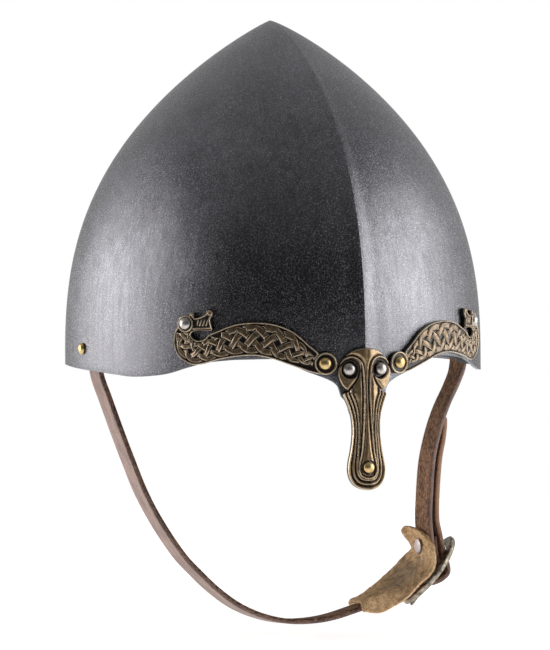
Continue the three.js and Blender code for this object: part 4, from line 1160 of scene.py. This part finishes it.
# Waxed thread sews each tongue to the head band: one row of short stitches just under the band's
# top edge, each pulled a little into the leather.

stitch_length, stitch_thick, stitch_pitch = 2.5 * mm, 0.75 * mm, 3.6 * mm
stitch_height, stitch_margin = 3 * mm, 3 * mm


def waxed_thread(place):
    twist = place.noise(2400, 2)
    tone = place.noise(60, 2).between(0.3, 0.7)
    return {
        "Base Color": tone.paint(rgb(0.05, 0.042, 0.035), rgb(0.13, 0.11, 0.09)),
        "Roughness": 0.55 + twist * 0.2, "Normal": twist.bump(0.1 * mm, 0.8),
    }


def stitch_tree():
    """Lays a short round-ended stitch on each point, along the seam."""
    start, given = new_tree("sew_stitches", ["Stitch Length", "Thread Thickness"])
    turned = turned_to(read_points(start, "seam", "FLOAT_VECTOR"))
    ball = {"Segments": 8, "Rings": 6, "Radius": 0.5}
    stitch = start.node("GeometryNodeMeshUVSphere", {}, ball)
    thick, long = given["Thread Thickness"], given["Stitch Length"]
    return end_tree(start, copies_on(start, stitch, turned, thick, long), given["Material"])


seam_sweep = math.asin(stitch_height / (crown_height - tongue_base))
seam_steps = int((2 * tongue_half_width - 2 * stitch_margin) / stitch_pitch)
seam_half_turn = (tongue_half_width - stitch_margin) / (2 * half_girth)
seam_turn = np.concatenate([
    (number + 0.5) / tongue_count + np.linspace(-1, 1, seam_steps) * seam_half_turn
    for number in range(tongue_count)
])
seam_depth = leather + stitch_thick / 2
seam_spots = liner_dome(seam_turn, seam_sweep, seam_depth)
seam_probe = 0.001
seam_ahead = liner_dome(seam_turn + seam_probe, seam_sweep, seam_depth) - seam_spots
seam_mesh = plain_mesh("seam", seam_spots)
store(seam_mesh, "seam", seam_ahead)
thread = finish("waxed_thread", waxed_thread)
stitch_sizes = {"Stitch Length": stitch_length, "Thread Thickness": stitch_thick}
stitch_mesh = grown(stitch_tree(), stitch_sizes | {"Material": thread}, seam_mesh)
set_piece("tongue_stitches", stitch_mesh, thread, "helmet", "dark_leather")


# The lace is a thin leather cord of two strands twisted together. It runs in and out of the
# tongues' eyelets under the crown, and draws them together.

def wire_tree():
    """Runs a lobed, twisted section along a line of points, as thick as the line says."""
    start, given = new_tree("wire_along_line", ["Radius", "Lobes", "Lobe Depth", "Twist"])
    line = start.node("GeometryNodeMeshToCurve", {}, {"Mesh": start})
    along = start.node("GeometryNodeSplineParameter").other("Length")
    feeds = {"Curve": line, "Tilt": along * given["Twist"]}
    twisted = start.node("GeometryNodeSetCurveTilt", {}, feeds)
    ring = start.node("GeometryNodeCurvePrimitiveCircle", {}, {"Resolution": 18, "Radius": 1.0})
    angle = start.node("GeometryNodeSplineParameter") * (2 * math.pi)
    lobed = (1 + (angle * given["Lobes"]).math("COSINE") * given["Lobe Depth"]) * given["Radius"]
    outline = start.vector(lobed * angle.math("COSINE"), lobed * angle.math("SINE"), 0.0)
    section = start.node("GeometryNodeSetPosition", {}, {"Geometry": ring, "Position": outline})
    feeds = {
        "Curve": twisted, "Profile Curve": section, "Scale": read_points(start, "thick"),
        "Fill Caps": True,
    }
    return end_tree(start, start.node("GeometryNodeCurveToMesh", {}, feeds), given["Material"])


wire = wire_tree()


def wire_mesh(name, lines, radius, material, lobes=0.0, lobe_depth=0.0, twist=0.0):
    """lines: for each one its points, how thick it is at each, and whether it is a ring."""
    mesh = bpy.data.meshes.new(name)
    places, edges, thick = [], [], []
    for points, widths, ring in lines:
        first, count = len(places), len(points)
        places += [tuple(point) for point in points]
        steps = range(count if ring else count - 1)
        edges += [(first + k, first + (k + 1) % count) for k in steps]
        thick += list(np.broadcast_to(widths, count))
    mesh.from_pydata(places, edges, [])
    store(mesh, "thick", thick)
    sizes = {"Radius": radius, "Lobes": lobes, "Lobe Depth": lobe_depth, "Twist": twist}
    return grown(wire, sizes | {"Material": material}, mesh)


lace_radius, lace_wave, lace_steps = 0.86 * mm, 7 * mm, 288
lace_strands, lace_groove, lace_twist = 2.0, 0.22, 1400.0
lace_turn = np.arange(lace_steps) / lace_steps
lace_line = liner_dome(lace_turn, lace_sweep, leather / 2)
lace_line[:, 2] += lace_wave * np.sin(np.pi * (lace_turn * tongue_count - 0.5))
lace_mesh = wire_mesh(
    "crown_lace", [(lace_line, 1, True)], lace_radius, liner_finish,
    lace_strands, lace_groove, lace_twist,
)
set_piece("drawn_lace", lace_mesh, liner_finish, "helmet", "dark_leather", "crown_lace")


# Washers sit on the side rivets: leather ones between the steel and the strap, and brass burrs
# under the peened tails.

washer_sides, washer_soft = 48, 0.35 * mm


def tube_faces(rings, around, looped):
    """Faces from each ring of points to the next, and from the last to the first if looped."""
    return [
        (
            k * around + j, k * around + (j + 1) % around,
            (k + 1) % rings * around + (j + 1) % around, (k + 1) % rings * around + j,
        )
        for k in range(rings if looped else rings - 1) for j in range(around)
    ]


def turned_mesh(name, profile, middle, direction):
    """A profile of radius and height spun round an axis into a closed ring."""
    angle = np.linspace(0, 2 * np.pi, washer_sides, endpoint=False)[:, None]
    radius, height = np.array(profile).T
    shape = np.stack([radius * np.cos(angle), radius * np.sin(angle), height + 0 * angle], -1)
    turn = np.array(Vector(direction).to_track_quat("Z", "Y").to_matrix())
    places = shape.reshape(-1, 3) @ turn.T + middle
    return closed_mesh(name, places, tube_faces(washer_sides, len(profile), looped=True))


def washer_profile(hole, radius, low, high):
    """Half a washer's section, with its outer corners rounded."""
    soft = min(washer_soft, (high - low) / 3)
    return [
        (hole, low), (radius - soft, low), (radius - soft * 0.3, low + soft * 0.3),
        (radius, low + soft), (radius, high - soft), (radius - soft * 0.3, high - soft * 0.3),
        (radius - soft, high), (hole, high),
    ]


washer_bore, spacer_radius, burr_radius = 1.8 * mm, 5 * mm, 4 * mm
# Where each washer lies along the rivet, from the steel's outer face
spacer_span, burr_span = (-3.7 * mm, -2.55 * mm), (-12.65 * mm, -11.65 * mm)
spacer = washer_profile(washer_bore, spacer_radius, *spacer_span)
burr = washer_profile(washer_bore, burr_radius, *burr_span)
for hand, side in hands:
    spot, outward = (side * wall_across, -pivot_forward, pivot_height), (side, 0, 0)
    set_piece(
        f"spacer_{hand}", turned_mesh("spacer", spacer, spot, outward), liner_finish,
        "helmet", "dark_leather", f"strap_spacer_{hand}",
    )
    set_piece(
        f"burr_{hand}", turned_mesh("burr", burr, spot, outward), rivet_brass,
        "helmet", "bright_brass", f"strap_burr_{hand}",
    )


# The chin strap is cut from brown vegetable-tanned leather: a smooth satin grain outside, rough
# fibrous flesh inside, and dark burnished edges. The long part runs from the right side rivet
# under the chin and up through the buckle; the short part folds round the buckle's bar.

# How far the edges take to change colour
tail_tint_length = 30 * mm


def strap_leather(edge, tail_edge, tail_from):
    """The leather of one strap; its edges change colour towards its tail."""
    def paint(place):
        laid = place.stored("laid", "Vector")
        flesh, rim = place.stored("flesh"), place.stored("rim")
        fibre = laid.stretched((0.35, 1, 1)).noise(1500, 3, 0.8)
        blotch = laid.stretched((0.5, 1, 1)).noise(150, 3)
        pores = laid.node("ShaderNodeTexVoronoi", {}, {"Vector": laid, "Scale": 1600.0})
        grain = (blotch * 0.5 + fibre * 0.5).between(0.38, 0.62)
        smooth_side = grain.paint(rgb(0.175, 0.098, 0.075), rgb(0.34, 0.212, 0.168))
        rough_side = (fibre * 0.8 + blotch * 0.2).between(0.42, 0.6).paint(
            rgb(0.05, 0.022, 0.011), rgb(0.42, 0.215, 0.115))
        hairy = flesh.between(0.45, 0.55)
        face = hairy.paint(smooth_side, rough_side)
        near_tail = laid.part("X").between(tail_from, tail_from + tail_tint_length)
        cut_edge = fibre.between(0.2, 0.8).paint(near_tail.paint(edge, tail_edge), face)
        base = (rim.between(0.3, 0.8) * 0.95).paint(face, cut_edge)
        height = pores * (1 - hairy) * 0.35 + fibre * (0.3 + hairy * 2.6)
        return {
            "Base Color": base, "Roughness": 0.42 + hairy * 0.48 + fibre * 0.1,
            "Normal": height.bump(0.2 * mm, 0.9),
        }
    return paint


long_leather = finish("long_strap_leather", strap_leather(
    rgb(0.035, 0.02, 0.018), rgb(0.5, 0.27, 0.15), 270 * mm))
short_leather = finish("short_strap_leather", strap_leather(
    rgb(0.2, 0.14, 0.13), rgb(0.16, 0.09, 0.07), 90 * mm))
strap_tilt = math.radians(8)
strap_width, strap_thick, fold_thick = 16 * mm, 2.4 * mm, 1.4 * mm
strap_drop = 100 * mm
pocket_gap, strap_end = 2.4 * mm, 11 * mm
strap_across = wall_across - sheet - pocket_gap - strap_thick / 2
# How the strap's corners and ends are cut: round at the rivets and the fold, pointed at the tail
strap_corner, head_round, fold_round = 0.55 * mm, 7.8 * mm, 0.7 * mm
tail_point, tail_round, tail_narrowed_share, tail_power = 15 * mm, 1.6 * mm, 0.78, 1.7
strap_rim = 0.9 * mm
# How far the strap sways sideways along its length, and over what length
strap_sways = [(0.12 * mm, 23 * mm), (0.07 * mm, 7 * mm)]
# The slot for the prong in the tail: its ends along the buckle, and its reach through the strap
tail_slot = (-10.5 * mm, -0.5 * mm, -6 * mm, 8.4 * mm)
buckle_lean = math.radians(41.8)
buckle_middle = np.array([0.7 * skull_half_width, 1.115 * strap_drop])
buckle_up = np.array([math.sin(buckle_lean), -math.cos(buckle_lean)])
buckle_out = np.array([math.cos(buckle_lean), math.sin(buckle_lean)])
buckle_half_length, buckle_half_width = 19 * mm, 12.5 * mm
rim_radius, bar_radius, prong_radius, swing_gap = 1.5 * mm, 1.5 * mm, 1.1 * mm, 1.9 * mm
fold_rivet = np.array([0.69 * skull_half_width, 0.997 * strap_drop])
slack = 0.3 * mm
fold_middle = bar_radius + slack + fold_thick / 2
prong_loop = bar_radius + slack + prong_radius


def hung(across, sideways, fall):
    """A point of the strap's plane, which hangs tilted from the side rivets."""
    across, sideways, fall = np.broadcast_arrays(across, sideways, fall)
    cosine, sine = math.cos(strap_tilt), math.sin(strap_tilt)
    return np.stack([
        across, -pivot_forward + sideways * cosine - fall * sine,
        pivot_height - sideways * sine - fall * cosine,
    ], -1)


def at_buckle(up, out):
    return buckle_middle + up * buckle_up + out * buckle_out


def spread(shares):
    return np.array(shares) * (skull_half_width, strap_drop)


long_strap_shares = [
    (-0.923, 0.14), (-0.894, 0.23), (-0.845, 0.38), (-0.794, 0.53), (-0.739, 0.68),
    (-0.663, 0.83), (-0.564, 0.984), (-0.494, 1.062), (-0.415, 1.141), (-0.31, 1.222),
    (-0.2, 1.276), (-0.08, 1.309), (0.04, 1.318), (0.16, 1.308), (0.29, 1.278), (0.42, 1.245),
]
tail_shares = [
    (0.736, 0.935), (0.727, 0.88), (0.731, 0.8), (0.742, 0.706), (0.767, 0.56), (0.795, 0.465),
    (0.82, 0.4), (0.833, 0.365),
]
short_strap_shares = [
    (0.922, 0.13), (0.884, 0.21), (0.824, 0.314), (0.772, 0.432), (0.726, 0.58), (0.7, 0.75),
    (0.688, 0.87),
]
under_rim = -(rim_radius + swing_gap + strap_thick / 2)
over_bar, before_bar = 5.7 * mm, (-5 * mm, 3.2 * mm)
past_fold = 5.9 * mm
head_shares = np.array([-1, -0.3, 0.4])


def strap_head(side):
    return np.column_stack([np.full(3, side * strap_across), head_shares * strap_end])


long_route = np.vstack([
    strap_head(-1), spread(long_strap_shares),
    [at_buckle(-share * buckle_half_length, under_rim) for share in (1, 0.85, 0.7)],
    at_buckle(*before_bar), at_buckle(0, over_bar),
    at_buckle(bar_radius + strap_thick, over_bar),
    fold_rivet + (past_fold, strap_thick), spread(tail_shares),
])
half_fold = fold_middle * math.sqrt(0.5)
fold_outer = fold_rivet[0] + (strap_thick + fold_thick) / 2 + slack
short_route = np.vstack([
    strap_head(1), spread(short_strap_shares), fold_rivet,
    fold_rivet + (-strap_thick / 4, 2 * strap_thick),
    at_buckle(0, -fold_middle), at_buckle(-half_fold, -half_fold), at_buckle(-fold_middle, 0),
    at_buckle(-half_fold, half_fold), at_buckle(0, fold_middle), at_buckle(fold_middle, half_fold),
    (fold_outer + slack, fold_rivet[1] + 2 * strap_thick), (fold_outer, fold_rivet[1]),
    (fold_outer, fold_rivet[1] - 2 * strap_thick),
])


def rounded_section(width, thick, corner, flat_steps):
    """Points round a flat section with rounded corners: sideways and through."""
    arc = np.radians(np.linspace(0, 90, 5))
    flat = np.linspace(-1, 1, flat_steps + 2)[1:-1] * (width / 2 - corner)
    points = []
    for side, through in ((1, 1), (-1, 1), (-1, -1), (1, -1)):
        turn = arc if side == through else arc[::-1]
        across = side * (width / 2 - corner + corner * np.cos(turn))
        up = through * (thick / 2 - corner + corner * np.sin(turn))
        points += zip(across, up)
        if side == through:
            points += [(-side * along, through * thick / 2) for along in flat]
    return np.array(points)


def strap_section(width, thick):
    return rounded_section(width, thick, min(strap_corner, thick / 2.2, width / 3), 7)


def strap_mesh(name, route, inside, width_at, thick_at):
    """A strap along a route. inside is 1 where its left face is the flesh side, and -1 where not."""
    line = smooth_line(route, 10)
    share = np.arange(len(line)) / (len(line) - 1)
    step = np.gradient(line, axis=0)
    step /= np.linalg.norm(step, axis=1)[:, None]
    left = np.column_stack([step[:, 1], -step[:, 0]])
    passed = np.concatenate([[0], np.cumsum(np.linalg.norm(np.diff(line, axis=0), axis=1))])
    rings, laid, flesh, rim = [], [], [], []
    for k, (spot, side_on) in enumerate(zip(line, left)):
        width, thick = width_at(passed[k], passed[-1]), thick_at(share[k])
        section = strap_section(width, thick)
        sway = sum(reach * math.sin(passed[k] / length) for reach, length in strap_sways)
        flat = spot + section[:, 1:] * side_on
        rings.append(hung(flat[:, 0], section[:, 0] + sway, flat[:, 1]))
        laid.append(np.column_stack([np.full(len(section), passed[k]), section]))
        flesh.append(0.5 + 0.5 * inside * section[:, 1] / (thick / 2))
        rim.append(np.clip((np.abs(section[:, 0]) - width / 2 + strap_rim) / strap_rim, 0, 1))
    count, around = len(rings), len(rings[0])
    faces = tube_faces(count, around, looped=False)
    faces += [tuple(range(around)), tuple(range((count - 1) * around, count * around))]
    mesh = plain_mesh(name, np.concatenate(rings), faces)
    for label, values in (("laid", laid), ("flesh", flesh), ("rim", rim)):
        store(mesh, label, np.concatenate(values))
    shape = bmesh.new()
    shape.from_mesh(mesh)
    bmesh.ops.recalc_face_normals(shape, faces=shape.faces)
    shape.to_mesh(mesh)
    shape.free()
    return mesh


def rounded_end(passed, radius):
    """How much of its width a strap has, so far from its end."""
    return math.sqrt(max(0.02, 1 - max(0, 1 - passed / radius) ** 2))


def long_width(passed, whole):
    left_over = whole - passed
    point = 1 - tail_narrowed_share * max(0, 1 - left_over / tail_point) ** tail_power
    tail = point * rounded_end(left_over, tail_round)
    return strap_width * min(rounded_end(passed, head_round), tail)


def short_width(passed, whole):
    folded = rounded_end(whole - passed, fold_round)
    return strap_width * min(rounded_end(passed, head_round), folded)


punch_radius, punch_reach = 1.8 * mm, 4 * mm
side_hole_radius, side_hole_reach = 1.8 * mm, 5 * mm
fold_hole_radius, fold_hole_reach = 1.4 * mm, 8 * mm
prong_slot = 3.4 * mm
punch_shares = (0.25, 0.45, 0.65)
fold_hole = (hung(fold_rivet[0], 0, fold_rivet[1]), (1, 0, 0), fold_hole_radius, fold_hole_reach)
tail_line = spread(tail_shares)


def side_hole(side):
    return (hung(side * strap_across, 0, 0), (1, 0, 0), side_hole_radius, side_hole_reach)


def slot_cutter(low, high, bottom, top):
    """A straight-sided cutter with round ends, square to the buckle's plane."""
    turn = np.radians(np.linspace(-90, 90, 9))
    radius = prong_slot / 2
    outline = [(high - radius + radius * math.cos(a), radius * math.sin(a)) for a in turn]
    outline += [(low + radius - radius * math.cos(a), -radius * math.sin(a)) for a in turn]
    count = len(outline)
    places = []
    for out in (bottom, top):
        for up, sideways in outline:
            flat = at_buckle(up, out)
            places.append(hung(flat[0], sideways, flat[1]))
    faces = [tuple(range(count)), tuple(range(count, 2 * count))]
    return closed_mesh("slot", places, faces + tube_faces(2, count, looped=False))


long_mesh = strap_mesh("strap_long", long_route, 1, long_width, lambda share: strap_thick)
punches = [side_hole(-1)]
for share in punch_shares:
    spot = tail_line[round(share * (len(tail_line) - 1))]
    punches.append((hung(spot[0], 0, spot[1]), (1, 0, 0), punch_radius, punch_reach))
long_mesh = bored(long_mesh, bore(*punches))
long_mesh = bored(long_mesh, slot_cutter(*tail_slot))
set_piece("strap_long", long_mesh, long_leather, "chin_strap", "strap_leather", "chin_strap_long")

# The short strap is pared thin where its fold starts, in shares of its length
skived_shares = (0.515, 0.58)


def short_thick(share):
    return strap_thick + (fold_thick - strap_thick) * float(ramp(share, *skived_shares))


slot_reach = fold_middle + prong_radius + slack + fold_thick
short_mesh = strap_mesh("strap_short", short_route, -1, short_width, short_thick)
short_mesh = bored(short_mesh, bore(side_hole(1), fold_hole))
short_mesh = bored(short_mesh, slot_cutter(
    -slot_reach, prong_loop + prong_radius + slack, -slot_reach, slot_reach))
set_piece("strap_short", short_mesh, short_leather, "chin_strap", "strap_leather", "chin_strap_short")


# The buckle is an oval ring of cast bronze with a middle bar; its prong is a tapered finger
# whose end is bent round the bar. Both have darkened, with brighter mottled patches.

def aged_bronze(place):
    mottle = place.noise(500, 4, 0.65)
    cloud = place.noise(110, 3)
    base = (mottle * 0.6 + cloud * 0.4).between(0.4, 0.66).paint(
        rgb(0.12, 0.1, 0.075), rgb(0.56, 0.5, 0.4))
    return {
        "Base Color": base, "Metallic": 1.0, "Roughness": 0.26 + cloud * 0.16,
        "Normal": (mottle + cloud).bump(0.05 * mm, 0.5),
    }


bronze = finish("aged_bronze", aged_bronze)
frame_width, frame_depth, frame_corner = 3.9 * mm, 3 * mm, 1 * mm
frame_sides, frame_squareness = 96, 1.22
# How much wider the ring's inner side is where the strap passes under it
frame_flare = 0.7


def frame_mesh():
    """The buckle's oval frame: a flat ring with rounded edges."""
    angle = np.linspace(0, 2 * np.pi, frame_sides, endpoint=False)[:, None]
    section = rounded_section(frame_width, frame_depth, frame_corner, 0)
    radial, out = section.T
    middle_length = buckle_half_length + rim_radius - frame_width / 2
    middle_width = buckle_half_width + rim_radius - frame_width / 2
    cosine, sine = np.cos(angle), np.sin(angle)
    radial = np.where(radial < 0, radial * (1 + frame_flare * cosine**2), radial)
    up = (middle_length + radial) * np.sign(cosine) * np.abs(cosine) ** frame_squareness
    sideways = (middle_width + radial) * np.sign(sine) * np.abs(sine) ** frame_squareness
    flat = buckle_middle + up[..., None] * buckle_up + (out + 0 * up)[..., None] * buckle_out
    places = hung(flat[..., 0], sideways, flat[..., 1]).reshape(-1, 3)
    return closed_mesh("buckle_frame", places, tube_faces(frame_sides, len(section), looped=True))


bar_line = hung(buckle_middle[0], np.linspace(-1, 1, 9) * buckle_half_width, buckle_middle[1])
bar_mesh = wire_mesh("buckle_bar", [(bar_line, 1, False)], bar_radius, bronze)
set_piece("buckle_ring", frame_mesh(), bronze, "buckle", "aged_brass", "buckle_frame")
set_piece("buckle_bar", bar_mesh, bronze, "buckle", "aged_brass", "buckle_frame")

# The prong's end goes this far round the bar, in degrees, and then runs on as its finger
bend_start, bend_end = 262, 8
bend = np.radians(np.linspace(bend_start, bend_end, 40))
prong_reach = buckle_half_length + slack
prong_level = max(prong_loop, rim_radius + slack + prong_radius)
finger = np.linspace(0, 1, 24)
prong_flat = np.array(
    [at_buckle(prong_loop * math.sin(a), prong_loop * math.cos(a)) for a in bend]
    + [at_buckle(-prong_reach * s, prong_loop + (prong_level - prong_loop) * s) for s in finger]
)
# Its thickness in shares of its radius: even round the bar, tapered along the finger
prong_shares = np.concatenate([np.full(len(bend), 0.98), 1 - 0.3 * finger**2])
prong_shares[-1] = 0.35
prong_line = hung(prong_flat[:, 0], 0, prong_flat[:, 1])
prong_mesh = wire_mesh("prong", [(prong_line, prong_shares, False)], prong_radius, bronze)
set_piece("prong_finger", prong_mesh, bronze, "prong", "aged_brass", "buckle_prong")


# The guard is a flap of tan suede under the buckle that keeps it off the jaw. It is riveted to
# the strap at its top, hangs over it in front, and has a fuzzy nap with darkened, worn patches.

def tan_suede(place):
    laid = place.stored("laid", "Vector")
    nap = place.noise(1900, 5, 0.75)
    clumps = place.noise(420, 4, 0.65)
    along, across = (laid.part("X") - 0.42).math("ABSOLUTE"), (laid.part("Y") + 0.05).math("ABSOLUTE")
    worn = along * 3 + across * 1.1 + (clumps - 0.5) * 1.2 + (place.noise(60, 3) - 0.5) * 1.6
    worn = worn.between(0.25, 1.1)
    light = (nap * 0.6 + clumps * 0.4).between(0.36, 0.64)
    pale = light.paint(rgb(0.34, 0.19, 0.08), rgb(0.92, 0.63, 0.36))
    dark = light.paint(rgb(0.2, 0.125, 0.07), rgb(0.6, 0.42, 0.26))
    return {
        "Base Color": worn.paint(dark, pale), "Roughness": 0.95,
        "Normal": (nap + clumps * 1.6).bump(0.35 * mm, 0.9),
    }


suede = finish("tan_suede", tan_suede)
# Stations from the low end up. Each holds the front edge, front shoulder, middle, back shoulder
# and back edge, as across, sideways and fall in shares of their sizes.
guard_shares = np.array([
    [(0.295, -0.75, 1.285), (0.292, -0.62, 1.246), (0.296, 0, 1.239),
     (0.308, 0.6, 1.24), (0.312, 0.75, 1.256)],
    [(0.38, -0.76, 1.298), (0.381, -0.6, 1.217), (0.379, 0, 1.209),
     (0.377, 0.56, 1.211), (0.373, 0.75, 1.226)],
    [(0.456, -0.75, 1.269), (0.457, -0.57, 1.206), (0.46, 0, 1.194),
     (0.447, 0.53, 1.18), (0.442, 0.75, 1.177)],
    [(0.523, -0.78, 1.231), (0.53, -0.55, 1.183), (0.532, 0, 1.162),
     (0.513, 0.53, 1.138), (0.507, 0.75, 1.131)],
    [(0.582, -0.81, 1.175), (0.59, -0.55, 1.136), (0.59, 0, 1.112),
     (0.577, 0.53, 1.088), (0.572, 0.75, 1.082)],
    [(0.642, -0.86, 1.127), (0.646, -0.55, 1.084), (0.646, 0, 1.055),
     (0.637, 0.53, 1.037), (0.634, 0.75, 1.032)],
    [(0.666, -0.88, 1.068), (0.657, -0.55, 1.03), (0.657, 0, 1.003),
     (0.655, 0.46, 0.997), (0.655, 0.62, 0.993)],
    [(0.665, -0.84, 1.013), (0.659, -0.55, 0.987), (0.658, 0, 0.966),
     (0.645, 0.46, 0.954), (0.626, 0.63, 0.955)],
    [(0.66, -0.66, 0.973), (0.653, -0.42, 0.952), (0.65, 0, 0.93),
     (0.636, 0.45, 0.917), (0.614, 0.7, 0.92)],
    [(0.654, -0.48, 0.95), (0.65, -0.29, 0.932), (0.646, 0.05, 0.914),
     (0.634, 0.4, 0.9), (0.62, 0.57, 0.896)],
])
guard_thick = 1.6 * mm
guard_steps, guard_across, guard_bevel = 12, 6, 0.3 * mm
guard_length, guard_half_width = 100 * mm, 14 * mm
guard_ripple, ripple_length = 0.5 * mm, 9 * mm


def guard_mesh():
    """The flap: its front face through the stations, its thickness behind it, its edge rounded."""
    lines = [smooth_line(guard_shares[:, k], guard_steps) for k in range(guard_shares.shape[1])]
    flat = np.stack([smooth_line(station, guard_across) for station in np.stack(lines, 1)])
    flat = flat * (skull_half_width, strap_width, strap_drop)
    rows, columns = flat.shape[:2]
    along, across = np.meshgrid(np.linspace(0, 1, rows), np.linspace(-1, 1, columns), indexing="ij")
    top = hung(flat[..., 0], flat[..., 1], flat[..., 2])
    out = np.cross(np.gradient(top, axis=0), np.gradient(top, axis=1))
    out /= np.linalg.norm(out, axis=2)[..., None]
    ripples = wrinkles(
        along * guard_length, across * guard_half_width, guard_ripple, ripple_length, 5)
    top = top + out * (ripples - guard_ripple / 2)[..., None]
    under = top - out * guard_thick
    places = np.concatenate([top.reshape(-1, 3), under.reshape(-1, 3)])
    mesh = plain_mesh("guard", places, plate_faces(rows, columns))
    laid = np.stack([along, across, 0 * along], -1).reshape(-1, 3)
    store(mesh, "laid", np.concatenate([laid, laid]))
    shape = bmesh.new()
    shape.from_mesh(mesh)
    bmesh.ops.recalc_face_normals(shape, faces=shape.faces)
    rim_edges = [edge for edge in shape.edges if edge.calc_face_angle(0) > sharp_corner]
    bmesh.ops.bevel(
        shape, geom=rim_edges, offset=guard_bevel, segments=2, profile=0.5, affect="EDGES",
    )
    shape.to_mesh(mesh)
    shape.free()
    return mesh


def nap_tree():
    """Short fibres standing on a surface, leaning and as long as it happens."""
    start, given = new_tree("suede_nap", ["Density", "Length", "Fibre Radius", "Seed"])
    seed = given["Seed"]
    feeds = {"Mesh": start, "Density": given["Density"], "Seed": seed}
    points = start.node("GeometryNodeDistributePointsOnFaces", {}, feeds)
    feeds = {0: (-0.8, -0.8, 0.0), 1: (0.8, 0.8, 6.2), "Seed": seed}
    lean = start.node("FunctionNodeRandomValue", {"data_type": "FLOAT_VECTOR"}, feeds)
    feeds = {"Rotation": points.other("Rotation"), "Rotate By": lean}
    turned = start.node("FunctionNodeRotateRotation", {"rotation_space": "LOCAL"}, feeds)
    feeds = {2: 0.4, 3: 1.2, "Seed": seed}
    tall = start.node("FunctionNodeRandomValue", {"data_type": "FLOAT"}, feeds, out=1)
    cone = {
        "Vertices": 3, "Radius Top": 0.0, "Radius Bottom": given["Fibre Radius"],
        "Depth": given["Length"],
    }
    fibre = start.node("GeometryNodeMeshCone", {}, cone)
    fibres = copies_on(points, fibre, turned, 1.0, tall)
    return end_tree(start, joined(fibres, start), given["Material"])


guard = bored(guard_mesh(), bore(fold_hole))
nap_sizes = {"Density": 3.2e6, "Length": 0.7 * mm, "Fibre Radius": 0.035 * mm, "Seed": 4}
guard = grown(nap_tree(), nap_sizes | {"Material": suede}, guard)
set_piece("suede_guard", guard, suede, "chin_strap", "suede", "buckle_pad")


# The fold rivet clamps the guard and both layers of the short strap's fold. It has a flat head of
# dull nickel, set a little into the suede, and a short shank.

dull_nickel = finish("dull_nickel", polished(rgb(0.5, 0.43, 0.41), rgb(0.34, 0.28, 0.26), 0.4))
fold_seat, fold_depth = 4.2 * mm, 3.2 * mm
fold_spot = hung(fold_rivet[0], 0, fold_rivet[1]) - (fold_seat, 0, 0)
set_rivets(
    "fold_rivet_head", [("fold", fold_spot, (-1, 0, 0), fold_seat + fold_depth, "fold_rivet")],
    dull_nickel, "chin_strap", "silver",
)


# The floor is a plain pale round sheet. The light is soft: white paper behind, a tall soft box at
# each side, and a dim room in front, which the steel mirrors as its dark middle.

floor_gap = 4 * mm
floor_radius, floor_sides = 550 * mm, 96
floor_level = cad_box[0][2] - floor_gap
turn = np.linspace(0, 2 * np.pi, floor_sides, endpoint=False)
floor_rim = np.column_stack([np.cos(turn), np.sin(turn), 0 * turn]) * floor_radius
floor_mesh = plain_mesh("floor", floor_rim + (0, 0, floor_level), [tuple(range(floor_sides))])


def pale_paper(place):
    return {
        "Base Color": place.noise(3, 2).paint(rgb(0.86, 0.86, 0.86), rgb(0.9, 0.9, 0.9)),
        "Roughness": 0.9, "Emission Color": rgb(1, 1, 1), "Emission Strength": 0.7,
    }


floor = bpy.data.objects.new("floor", floor_mesh)
bpy.context.collection.objects.link(floor)
floor_mesh.materials.append(finish("pale_floor", pale_paper))

away = -np.array(camera_back) * (1, 1, 0)
rightward = np.array([away[1], -away[0], 0])
world = bpy.data.worlds.new("studio")
world.use_nodes = True
sky = Quantity(world.node_tree)
direction = sky.node("ShaderNodeTexCoord", out="Generated")
behind = direction.node(
    "ShaderNodeVectorMath", {"operation": "DOT_PRODUCT"}, {0: direction, 1: away}, "Value")
above = direction.part("Z").between(0.25, 0.9)
dim, overhead, paper, paper_loss = 0.014, 0.27, 0.45, 0.22
room = dim + above * overhead + behind.between(0, 0.6) * (paper - above * paper_loss)
seen = direction.node("ShaderNodeLightPath", out="Is Camera Ray")
level = seen.node("ShaderNodeMix", {"data_type": "FLOAT"}, {0: seen, 2: room, 3: 1.0})
background = world.node_tree.nodes["Background"]
world.node_tree.links.new(level.socket, background.inputs["Strength"])
background.inputs["Color"].default_value = rgb(1, 1, 1)
bpy.context.scene.world = world


def soft_box(name, turned, distance, middle_height, width, height, radiance):
    """A soft box that many degrees round from the camera's side, facing the helmet."""
    turned = math.radians(turned)
    way = rightward * math.sin(turned) - away * math.cos(turned)
    light = bpy.data.lights.new(name, "AREA")
    light.shape = "RECTANGLE"
    light.size, light.size_y = width, height
    light.energy = radiance * 4 * width * height
    lamp = bpy.data.objects.new(name, light)
    lamp.location = way * distance + (0, 0, middle_height)
    lamp.rotation_euler = (-Vector(way)).to_track_quat("-Z", "Y").to_euler()
    lamp.visible_camera = False
    bpy.context.collection.objects.link(lamp)


soft_box("left_box", -99, 1.5, 0.13, 1.35, 1.25, 2.95)
soft_box("right_box", 87, 1.5, 0.27, 1.6, 1.3, 2.4)
